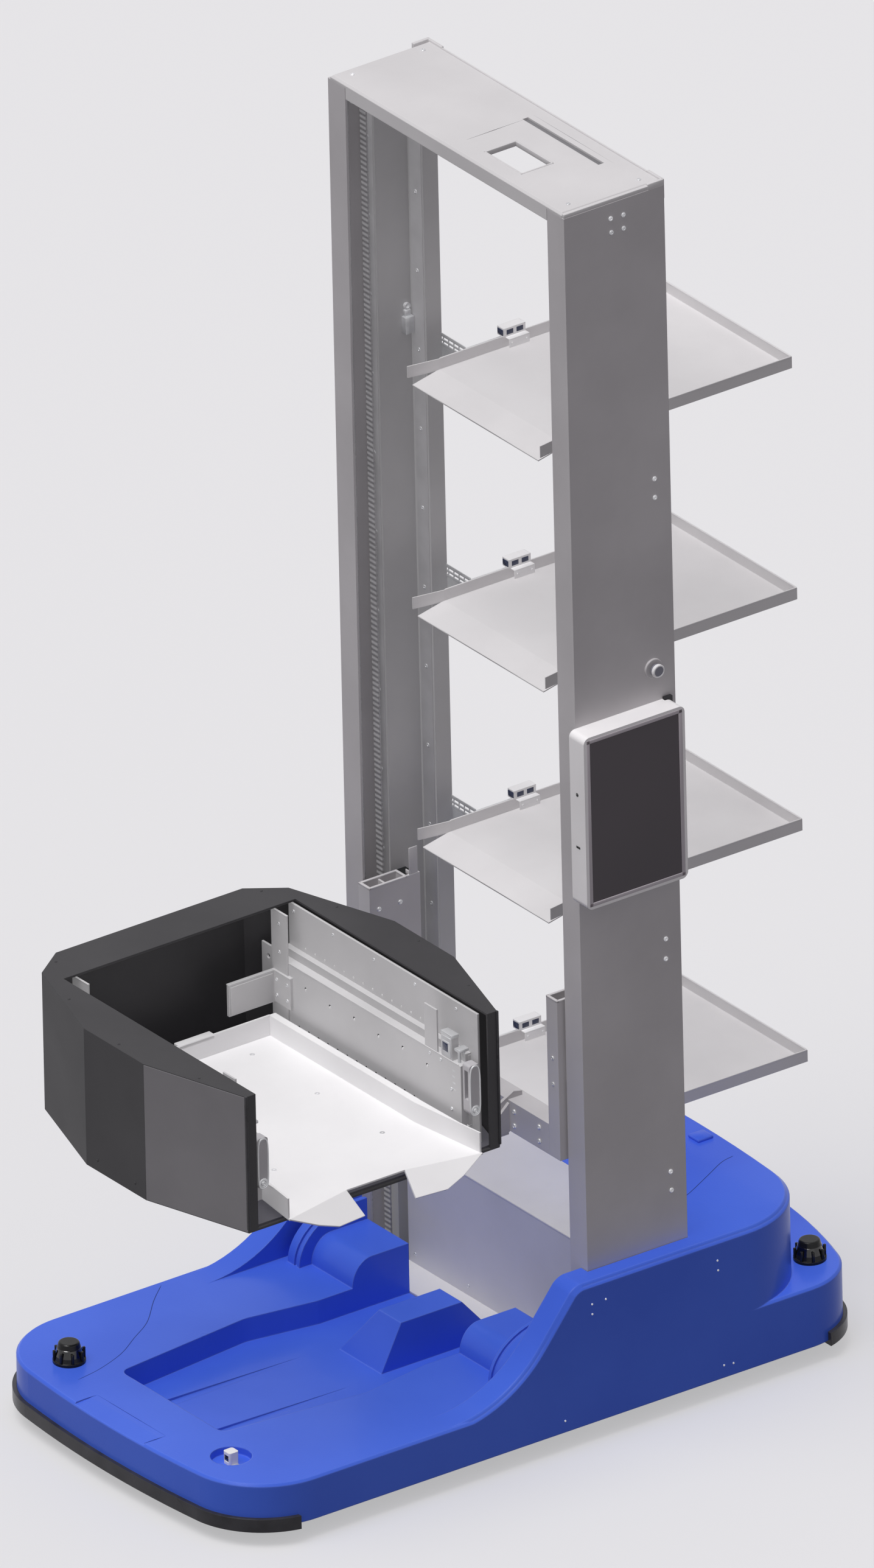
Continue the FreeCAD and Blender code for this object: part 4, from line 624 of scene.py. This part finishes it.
# Lift drive
# A right-angle gear motor in the cabinet turns the lower shaft; two steel-cored toothed belts
# run from it over the upper shaft and pull the carriage. Plain bearings in steel blocks.
belt_grey = rubber("lift_belt", "B4B3B5", "C0BFC1", 0.6, seed=22.0)
tree = belt_grey.node_tree
teeth = tree.nodes.new("ShaderNodeTexWave")
teeth.bands_direction = "Z"
teeth.inputs["Scale"].default_value = 32.0
tree.links.new(tree.nodes["Mapping"].outputs[0], teeth.inputs["Vector"])
notch = tree.nodes.new("ShaderNodeBump")
notch.inputs["Distance"].default_value = 0.0008
tree.links.new(teeth.outputs["Fac"], notch.inputs["Height"])
tree.links.new(tree.nodes["Bump"].outputs["Normal"], notch.inputs["Normal"])
tree.links.new(notch.outputs["Normal"], tree.nodes["Principled BSDF"].inputs["Normal"])
shaft_steel = bright_metal("shaft_steel", "A9ABAE", "CFD1D3", 0.24, (1, 40, 40), seed=23.0)
bearing_steel = bright_metal("bearing_steel", "8C8F92", "AAADB0", 0.4, seed=24.0)
dress(belt_grey, "lift_belts")
dress(shaft_steel, "lower_shaft", "upper_shaft")
dress(bearing_steel, "pulley_bearings")
dress(motor_black, "lift_motor")
shaft_y = 0.118
for name, z in (("lower", 0.062), ("upper", 2.303)):
    collars = bmesh.new()
    for side in (-1, 1):
        add_turned(collars, (side, 0, 0), (side * 0.290, shaft_y, z),
                   [(0.0072, 0), (0.0120, 0), (0.0120, 0.0100), (0.0072, 0.0100), (0.0072, 0)], steps=32)
        bmesh.ops.create_cone(collars, cap_ends=True, segments=12, radius1=0.0026, radius2=0.0026, depth=0.0070,
                              matrix=facing((0, 0, 1), (side * 0.295, shaft_y, z + 0.0130)))
    fit("shaft_collars_" + name, collars, name + "_shaft", bearing_steel)
    bolts = bmesh.new()
    for side in (-1, 1):
        for k in (-1, 1):
            for rise in (0.010, -0.010):
                add_screw(bolts, (-side, 0, 0), (side * 0.331, shaft_y + k * 0.010, z + rise), 0.0024, 0.0018)
    fit("bearing_bolts_" + name, bolts, "robot", zinc)

# Lower cabinet
# A closed sheet-steel cabinet across the foot of the mast, over the lift motor; its front and
# lid are one folded sheet, on a light floor plate. Four small screws hold each of them.
cabinet_grey = powder_coat("cabinet_coat", "CFCDCE", "D9D7D8", "FFFFFF", 0.46, seed=25.0)
dress(cabinet_grey, "mast_cabinet")
dress(cap_grey, "mast_foot_plate")
studs = bmesh.new()
for x in (-0.235, -0.080, 0.080, 0.235):
    add_screw(studs, (0, -1, 0), (x, 0.134, 0.092), 0.0036, 0.0018)
for x in (-0.236, 0.236):
    for y in (0.155, 0.275):
        add_screw(studs, (0, 0, 1), (x, y, 0.306), 0.0036, 0.0018)
fit("cabinet_screws", studs, "robot", zinc)
hem = bmesh.new()
add_block(hem, (-0.254, 0.1330, 0.3020), (0.254, 0.1352, 0.3066), 0.0009)
fit("cabinet_hem", hem, "robot", cabinet_grey)

# Shelves
# Four folded sheet shelves on riveted zinc brackets from the rear of the rails, with a slotted
# comb beside each bracket. The front lip is bent down; a white tote reader sits on the left rim.
shelf_grey = powder_coat("shelf_coat", "D8D6D7", "E1DFE0", "FFFFFF", 0.44, seed=26.0)
plated = bright_metal("bracket_zinc", "C6C7C9", "E2E3E4", 0.36, seed=27.0, metal=0.45)
reader_dark = plain("reader_window", "2A3350", 0.12, 0.00002, 60.0, coat=0.8, seed=28.0)
lowest_floor, shelf_pitch = 0.463, 0.4443
dress(plated, "shelf_brackets")
dress(sensor_white, "shelf_sensors")
for number in range(1, 5):
    dress(shelf_grey, f"shelf_{number}")
    z = lowest_floor + (number - 1) * shelf_pitch
    hems = bmesh.new()
    for side in (-1, 1):
        add_block(hems, (side * 0.1828, 0.192, z + 0.0185), (side * 0.1858, 0.6705, z + 0.0212), 0.0010)
    add_block(hems, (-0.1835, 0.6685, z + 0.0185), (0.1835, 0.6715, z + 0.0212), 0.0010)
    lip = [(x, 0.1335, z - 0.0118) for x in (-0.183, 0, 0.183)]
    add_strip(hems, lip, (0, -0.2, 1), 0.0024, 0.0009)
    fit(f"shelf_hems_{number}", hems, "robot", shelf_grey)
    combs = bmesh.new()
    for side in (-1, 1):
        low, high = sorted((side * 0.1870, side * 0.2700))
        for foot_z, head_z in ((-0.0010, 0.0050), (0.0085, 0.0130), (0.0170, 0.0235)):
            add_block(combs, (low, 0.2478, z + foot_z), (high, 0.2492, z + head_z), 0.0004)
        for k in range(6):
            x = low + 0.002 + k * 0.0152
            add_block(combs, (x, 0.2480, z), (x + 0.0030, 0.2490, z + 0.0230), 0.0003)
    fit(f"shelf_combs_{number}", combs, "robot", plated)
    readers = bmesh.new()
    add_block(readers, (-0.1975, 0.3236, z + 0.0225), (-0.1815, 0.3252, z + 0.0335), 0.0006)
    for y0, y1 in ((0.331, 0.345), (0.352, 0.366)):
        add_block(readers, (-0.1805, y0, z + 0.0235), (-0.1795, y1, z + 0.0325), 0.0004)
    fit(f"reader_windows_{number}", readers, "robot", reader_dark)
    foot = bmesh.new()
    add_block(foot, (-0.1830, 0.3300, z + 0.0170), (-0.1705, 0.3730, z + 0.0190), 0.0007)
    add_block(foot, (-0.1722, 0.3300, z + 0.0020), (-0.1705, 0.3730, z + 0.0185), 0.0006)
    for y in (0.336, 0.367):
        add_screw(foot, (1, 0, 0), (-0.1705, y, z + 0.010), 0.0026, 0.0016)
    fit(f"reader_feet_{number}", foot, "robot", sensor_white)
    rivets = bmesh.new()
    for side in (-1, 1):
        for y in (0.268, 0.300, 0.326):
            add_screw(rivets, (side, 0, 0), (side * 0.189, y, z + 0.006), 0.0030, 0.0014)
        for x in (0.222, 0.240):
            for drop in (0.014, 0.046):
                add_screw(rivets, (0, 1, 0), (side * x, 0.253, z - drop), 0.0034, 0.0020)
    fit(f"shelf_rivets_{number}", rivets, "robot", zinc)

# Touch panel
# An operator panel on the right column: a pale moulded housing with rounded corners, a dark
# bezel and a glass face, two small buttons on its front side and a cable gland at the back.
panel_shell = moulded("panel_housing", "F0EEEF", "F8F6F7", 0.38, seed=29.0)
glass, tree, shader, shift, bump, _ = new_finish("panel_glass", "343034", 0.16, coat=0.08, seed=30.0)
two_tones(tree, shader, noise(tree, shift, 2.2, 1.0), "4A444A", "524B51", 0.3, 0.7)
pimple(tree, shift, bump, 0.00001, 30.0)
dress(panel_shell, "panel_housing")
dress(glass, "panel_screen")
bezel_grey = moulded("panel_bezel", "B9B2B8", "C3BCC2", 0.35, seed=31.0)
bezel = bmesh.new()
x0, x1 = 0.3868, 0.3886
for y0, y1, z0, z1 in ((0.0760, 0.2785, 1.0225, 1.0290), (0.0760, 0.2785, 1.3350, 1.3415),
                       (0.0760, 0.0825, 1.0225, 1.3415), (0.2715, 0.2785, 1.0225, 1.3415)):
    add_block(bezel, (x0, y0, z0), (x1, y1, z1), 0.0005)
fit("panel_bezel", bezel, "robot", bezel_grey)
keys = bmesh.new()
add_turned(keys, (0, -1, 0), (0.3655, 0.0700, 1.232),
           [(0, -0.001), (0.0036, -0.001), (0.0036, 0.0006), (0.0026, 0.0012), (0, 0.0012)])
add_block(keys, (0.3600, 0.0690, 1.129), (0.3710, 0.0704, 1.133), 0.0005)
fit("panel_keys", keys, "robot", smoked)
gland = bmesh.new()
add_block(gland, (0.3452, 0.2680, 1.3330), (0.3530, 0.2850, 1.3520), 0.0012)
fit("panel_gland", gland, "robot", bumper_black)

# Stop button
# A latching stop button above the panel: a thin collar in the paint of the column and a grey
# knob with a pale rim on a short stem, pushed in against a spring.
knob_rim = moulded("button_rim", "F0EFF1", "FAFAFB", 0.3, seed=32.0)
knob_dark = moulded("button_knob", "7C7C88", "8A8A96", 0.3, seed=33.0)
dress(column_grey, "stop_button_base")
dress(knob_dark, "stop_button")
rim = bmesh.new()
add_turned(rim, (1, 0, 0), (0.3575, 0.250, 1.412),
           [(0.0112, 0), (0.0123, 0.0004), (0.0123, 0.0050), (0.0112, 0.0062), (0.0092, 0.0062), (0.0092, 0.0050),
            (0.0112, 0)], steps=48)
fit("button_rim", rim, "stop_button", knob_rim)

# Lift carriage
# Two open-topped sheet boxes run on the rails with black polymer shoes; a cross beam ties
# them and two cantilever plates hooked over it carry the turntable. All sprayed grey.
carriage_grey = powder_coat("carriage_coat", "C3C0C2", "CFCCCE", "FFFFFF", 0.44, seed=34.0, rub_and_highlight=0.5)
shoe_black = rubber("shoe_polymer", "202122", "2B2C2D", 0.45, seed=35.0)
dress(carriage_grey, "carriage_brackets", "carriage_beam")
dress(shoe_black, "guide_shoes")
hems = bmesh.new()
for side in (-1, 1):
    for x0, x1, y0, y1 in ((0.2575, 0.2905, 0.0705, 0.0758), (0.2575, 0.2628, 0.0705, 0.1780),
                           (0.2852, 0.2905, 0.0705, 0.1515), (0.2575, 0.2905, 0.1465, 0.1515)):
        add_block(hems, (side * x0, y0, 0.8015), (side * x1, y1, 0.8052), 0.0010)
    add_block(hems, (side * 0.2582, 0.1560, 0.8030), (side * 0.2602, 0.1740, 0.8560), 0.0008)
    add_block(hems, (side * 0.2582, 0.1560, 0.8030), (side * 0.2700, 0.1580, 0.8120), 0.0006)
fit("carriage_hems", hems, "carriage", carriage_grey)
bolts = bmesh.new()
for side in (-1, 1):
    for z in (0.520, 0.548, 0.700, 0.760):
        for y in (0.090, 0.135):
            add_screw(bolts, (-side, 0, 0), (side * 0.258, y, z), 0.0045, 0.0028)
    for z in (0.640, 0.690):
        add_screw(bolts, (0, -1, 0), (side * 0.274, 0.071, z), 0.0040, 0.0024)
    for x in (0.115, 0.157, 0.230):
        for z in (0.540, 0.513):
            add_screw(bolts, (0, -1, 0), (side * x, 0.071, z), 0.0050, 0.0032)
    for y in (-0.400, -0.300, -0.100, 0.040):
        add_screw(bolts, (side, 0, 0), (side * 0.139, y, 0.530), 0.0048, 0.0030)
fit("carriage_bolts", bolts, "carriage", zinc)
gussets = bmesh.new()
for side in (-1, 1):
    x = side * 0.136
    bend = [(x + side * 0.003, y, z) for y, z in ((0.069, 0.498), (0.069, 0.553), (0.010, 0.500))]
    add_prism(gussets, bend, (side * 0.006, 0, 0))
fit("beam_gussets", gussets, "carriage", carriage_grey)

# Turntable
# A crossed-roller ring on the carriage plate turns the fork unit half a turn; a black gear
# motor hangs below its middle. Twelve zinc screws go round the ring.
turn_y = -0.347
dress(bearing_steel, "turntable_ring")
dress(motor_black, "turn_motor")
bolts = bmesh.new()
for k in range(12):
    angle = math.radians(30 * k + 15)
    x, y = 0.085 * math.cos(angle), turn_y + 0.085 * math.sin(angle)
    add_screw(bolts, (0, 0, 1), (x, y, 0.581), 0.0042, 0.0018)
fit("turntable_screws", bolts, "carriage", zinc)
cap = bmesh.new()
add_turned(cap, (0, 0, -1), (0, turn_y, 0.479),
           [(0, 0), (0.0305, 0), (0.0305, 0.0020), (0.0270, 0.0060), (0, 0.0060)], steps=48)
for k in range(4):
    angle = math.radians(45 + 90 * k)
    x, y = 0.0285 * math.cos(angle), turn_y + 0.0285 * math.sin(angle)
    add_block(cap, (x - 0.004, y - 0.004, 0.479), (x + 0.004, y + 0.004, 0.540), 0.0015)
fit("turn_motor_cap", cap, "carriage", motor_black)

# Fork shell
# The eight-sided housing of the fork unit: charcoal coated sheet, open at the top and at the
# mouth, with a flat flange turned in round the top and small screws in the same coat. A lighter
# plate covers each slanted side at the mouth.
charcoal = powder_coat("shell_charcoal", "3C3B3D", "434244", "6E6D70", 0.55, seed=36.0, rub_and_highlight=0.20)
fork_steel = powder_coat("fork_floor_coat", "55545A", "616067", "9A9A9A", 0.45, seed=37.0)
dress(charcoal, "fork_shell")
dress(fork_steel, "fork_base")
screws = bmesh.new()
rim = [(-0.325, 0.198), (-0.278, 0.262), (-0.062, 0.330), (0.112, 0.330), (0.325, 0.266)]
for side in (-1, 1):
    for (xa, ua), (xb, ub) in zip(rim, rim[1:]):
        x, u = (xa + xb) / 2, (ua + ub) / 2
        add_screw(screws, (0, 0, 1), (x * 0.985, turn_y + side * (u - 0.012), 0.848), 0.0024, 0.0010)
    for x in (-0.030, 0.080):
        add_screw(screws, (0, side, 0), (x, turn_y + side * 0.330, 0.606), 0.0026, 0.0012)
for u in (-0.140, 0.140):
    add_screw(screws, (-1, 0, 0), (-0.325, turn_y + u, 0.606), 0.0026, 0.0012)
fit("shell_screws", screws, "fork", charcoal)
panel_grey = powder_coat("shell_panel", "7D7B7E", "878588", "A8A7AA", 0.5, seed=36.5, rub_and_highlight=0.2)
panels = bmesh.new()
for side in (-1, 1):
    ends = [Vector((0.1135, side * 0.3296, 0)), Vector((0.3235, side * 0.2665, 0))]
    out = Vector((ends[1].y - ends[0].y, ends[0].x - ends[1].x, 0)).normalized() * -side
    corners = [ends[0], ends[1], ends[1] + out * 0.0010, ends[0] + out * 0.0010]
    add_prism(panels, [(p.x, turn_y + p.y, 0.5875) for p in corners], (0, 0, 0.2590))
fit("shell_panels", panels, "fork", panel_grey)
edge_trim = bmesh.new()
for side in (-1, 1):
    add_block(edge_trim, (0.3215, turn_y + side * 0.2640, 0.592), (0.3275, turn_y + side * 0.2685, 0.8485), 0.0014)
fit("mouth_trim", edge_trim, "fork", bumper_black)

# Tray
# A white powder-coated tray fixed on the fork floor: folded rims with a flange turned out,
# flared towards the mouth, and two lead-in tongues bent down at the front edge.
tray_white = powder_coat("tray_coat", "EEEDEE", "F5F4F5", "FFFFFF", 0.40, seed=38.0, grain=0.00008)
tray_floor_z = 0.6080
dress(tray_white, "fork_tray")
screws = bmesh.new()
for x in (-0.190, 0.0, 0.190):
    for u in (-0.115, 0.115):
        add_turned(screws, (0, 0, 1), (x, turn_y + u, tray_floor_z),
                   [(0, -0.0005), (0.0050, -0.0005), (0.0046, 0.0004), (0.0018, 0.0004), (0.0015, -0.0002),
                    (0, -0.0002)], steps=16)
fit("tray_screws", screws, "fork", zinc)
hems = bmesh.new()
for side in (-1, 1):
    add_block(hems, (-0.2330, turn_y + side * 0.1945, 0.6400), (0.1880, turn_y + side * 0.1965, 0.6462), 0.0007)
add_block(hems, (-0.2338, turn_y - 0.184, 0.6440), (-0.2290, turn_y + 0.184, 0.6468), 0.0010)
add_block(hems, (-0.2455, -0.357, 0.6380), (-0.2300, -0.282, 0.6470), 0.0010)
fit("tray_hems", hems, "fork", tray_white)
feet = bmesh.new()
for side in (-1, 1):
    for x in (-0.215, -0.030, 0.150):
        add_block(feet, (x, turn_y + side * 0.186, 0.5942), (x + 0.022, turn_y + side * 0.203, 0.6060), 0.0010)
fit("tray_feet", feet, "fork", tray_white)

# Telescopic arms
# Each side has a fixed plate, a middle channel and an inner channel of pressed steel, sprayed
# light grey, which draw out one from another. The inner one has rows of holes and studs, a
# pusher and the drive of its finger.
arm_grey = powder_coat("arm_coat", "C9C8C9", "D4D3D4", "FFFFFF", 0.40, seed=39.0, rub_and_highlight=0.75)
slide_grey = powder_coat("slide_coat", "C2C1C2", "CDCCCD", "FFFFFF", 0.34, seed=40.0, rub_and_highlight=0.75)
dress(arm_grey, "arm_plate_far", "arm_inner_far", "arm_plate_near", "arm_inner_near")
dress(slide_grey, "arm_mid_far", "arm_mid_near")
dress(motor_black, "arm_motors")
dark_hole = plain("hole_shadow", "161519", 0.8, 0.0001, 500.0, seed=41.0)
for name, side in (("far", 1), ("near", -1)):
    body = "inner_" + name
    motor_u, motor_z = 0.277, 0.634
    inward = (0, -side, 0)

    def at(x, u, z):
        return (x, turn_y + side * u, z)

    edges = bmesh.new()
    for x0, x1, u0, u1, z0, z1 in ((-0.246, 0.284, 0.2112, 0.2132, 0.7425, 0.7452),
                                   (-0.246, 0.284, 0.2112, 0.2132, 0.6205, 0.6232),
                                   (-0.254, -0.2005, 0.2053, 0.2125, 0.7175, 0.7205),
                                   (-0.254, -0.2465, 0.1085, 0.2090, 0.7175, 0.7205),
                                   (-0.2585, -0.2115, 0.2085, 0.2125, 0.8335, 0.8362)):
        add_block(edges, at(x0, u0, z0), at(x1, u1, z1), 0.0008)
    fit("inner_edges_" + name, edges, body, arm_grey)
    holes = bmesh.new()
    for k in range(13):
        add_turned(holes, inward, at(-0.185 + 0.028 * k, 0.212, 0.632),
                   [(0, -0.0005), (0.0028, -0.0005), (0.0028, 0.0002), (0.0020, 0.0003), (0, 0.0001)], steps=12)
    for k in range(7):
        add_turned(holes, inward, at(-0.235 + 0.071 * k, 0.2125, 0.708 + 0.005 * (k % 2)),
                   [(0, -0.0010), (0.0034, -0.0010), (0.0034, -0.0002), (0, -0.0002)], steps=20)
    fit("inner_pin_holes_" + name, holes, body, dark_hole)
    studs = bmesh.new()
    for k in range(7):
        add_turned(studs, inward, at(-0.2345 + 0.071 * k, 0.2122, 0.7072 + 0.005 * (k % 2)),
                   [(0, -0.0006), (0.0024, -0.0006), (0.0021, 0.0004), (0, 0.0005)], steps=16)
    fit("inner_studs_" + name, studs, body, sensor_white)
    rivets = bmesh.new()
    for k in range(13):
        add_turned(rivets, inward, at(-0.202 + 0.028 * k, 0.2412, 0.767),
                   [(0, -0.0006), (0.0019, -0.0006), (0.0016, 0.0005), (0, 0.0006)], steps=12)
    fit("row_rivets_" + name, rivets, "fork", sensor_white)
    bolts = bmesh.new()
    for x, z in ((-0.240, 0.674), (-0.240, 0.704), (-0.210, 0.674), (-0.210, 0.704)):
        add_screw(bolts, inward, at(x, 0.206, z), 0.0036, 0.0018)
    for x, z in ((0.262, 0.652), (0.262, 0.690), (0.200, 0.735), (0.232, 0.735)):
        add_screw(bolts, inward, at(x, 0.212, z), 0.0036, 0.0018)
    for z in (0.758, 0.812):
        add_screw(bolts, inward, at(-0.235, 0.209, z), 0.0034, 0.0016)
    fit("inner_bolts_" + name, bolts, body, zinc)
    pads = bmesh.new()
    add_block(pads, at(-0.2472, 0.112, 0.663), at(-0.2450, 0.202, 0.715), 0.0008)
    fit("pusher_pad_" + name, pads, body, slide_grey)
    servo = bmesh.new()
    for x0, x1, u0, u1, z0, z1 in ((0.2325, 0.2655, 0.2115, 0.2280, 0.7860, 0.7925),
                                   (0.2355, 0.2625, 0.2105, 0.2290, 0.7480, 0.7860),
                                   (0.2385, 0.2595, 0.2095, 0.2130, 0.7560, 0.7780)):
        add_block(servo, at(x0, u0, z0), at(x1, u1, z1), 0.0012)
    fit("finger_drive_" + name, servo, body, plated)
    window = bmesh.new()
    add_block(window, at(0.2410, 0.2090, 0.7590), at(0.2570, 0.2104, 0.7750), 0.0006)
    fit("drive_window_" + name, window, body, reader_dark)
    rods = bmesh.new()
    for u, radius, height in ((0.2200, 0.0030, 0.0900), (0.2300, 0.0022, 0.0860)):
        add_turned(rods, (0, 0, 1), at(0.2760, u, 0.6800), [(0, 0), (radius, 0), (radius, height), (0, height)],
                   steps=16)
    add_block(rods, at(0.2700, 0.2130, 0.7660), at(0.2860, 0.2340, 0.7720), 0.0016)
    for z in (0.690, 0.702, 0.714, 0.726):
        add_block(rods, at(0.2650, 0.2118, z), at(0.2740, 0.2220, z + 0.004), 0.0008)
    fit("finger_linkage_" + name, rods, body, plated)
    bolts = bmesh.new()
    for x in (-0.235, -0.120, 0.0, 0.120, 0.240):
        add_screw(bolts, inward, at(x, 0.241, 0.826), 0.0034, 0.0018)
    fit("plate_bolts_" + name, bolts, "fork", zinc)
    ends = bmesh.new()
    add_turned(ends, (-1, 0, 0), at(-0.070, motor_u, motor_z),
               [(0, -0.001), (0.0262, -0.001), (0.0262, 0.0030), (0.0220, 0.0070), (0, 0.0070)], steps=40)
    for k in range(10):
        add_turned(ends, (1, 0, 0), at(-0.058 + 0.009 * k, motor_u, motor_z),
                   [(0.0265, 0), (0.0284, 0), (0.0284, 0.0040), (0.0265, 0.0040), (0.0265, 0)], steps=40)
    fit("arm_motor_fins_" + name, ends, "fork", motor_black)

# Fingers
# Hold-back fingers on the ends of the inner arms: a light loop of bent rod round a thin
# slotted blade, on a knuckle with a pivot screw; they fold down across the tray mouth.
finger_grey = moulded("finger_coat", "B9B7BA", "C9C7CA", 0.35, seed=42.0)
loop_x, pivot_z = 0.3135, 0.665
for name, side in (("far", 1), ("near", -1)):
    y = turn_y + side * 0.225
    dress(finger_grey, "finger_" + name)
    loop = bpy.data.curves.new("finger_loop_" + name, "CURVE")
    loop.dimensions = "3D"
    loop.bevel_depth = 0.0016
    loop.bevel_resolution = 3
    loop.resolution_u = 6
    line = loop.splines.new("NURBS")
    path = [(-0.0105, 0.668), (-0.0105, 0.700), (-0.0105, 0.738), (-0.0060, 0.7505), (0.0060, 0.7505),
            (0.0105, 0.738), (0.0105, 0.700), (0.0105, 0.668), (0.0070, 0.656), (-0.0070, 0.656)]
    line.points.add(len(path) - 1)
    for point, (across, z) in zip(line.points, path):
        point.co = (loop_x, y + across, z, 1)
    line.order_u = 3
    line.use_cyclic_u = True
    holder = bpy.data.objects.new("finger_loop_curve_" + name, loop)
    wire = bmesh.new()
    mesh = bpy.data.meshes.new_from_object(holder)
    wire.from_mesh(mesh)
    bmesh.ops.remove_doubles(wire, verts=wire.verts, dist=0.00001)
    bpy.data.objects.remove(holder)
    fit("finger_loop_" + name, wire, "finger_" + name, plated)
    knuckle = bmesh.new()
    add_turned(knuckle, (1, 0, 0), (0.3125, y, pivot_z),
               [(0.0050, -0.001), (0.0095, -0.001), (0.0095, 0.0012), (0.0082, 0.0020), (0.0058, 0.0020),
                (0.0050, 0.0010), (0.0050, -0.001)], steps=32)
    add_screw(knuckle, (1, 0, 0), (0.3130, y, pivot_z), 0.0045, 0.0026)
    fit("finger_knuckle_" + name, knuckle, "finger_" + name, plated)

bpy.context.view_layer.update()
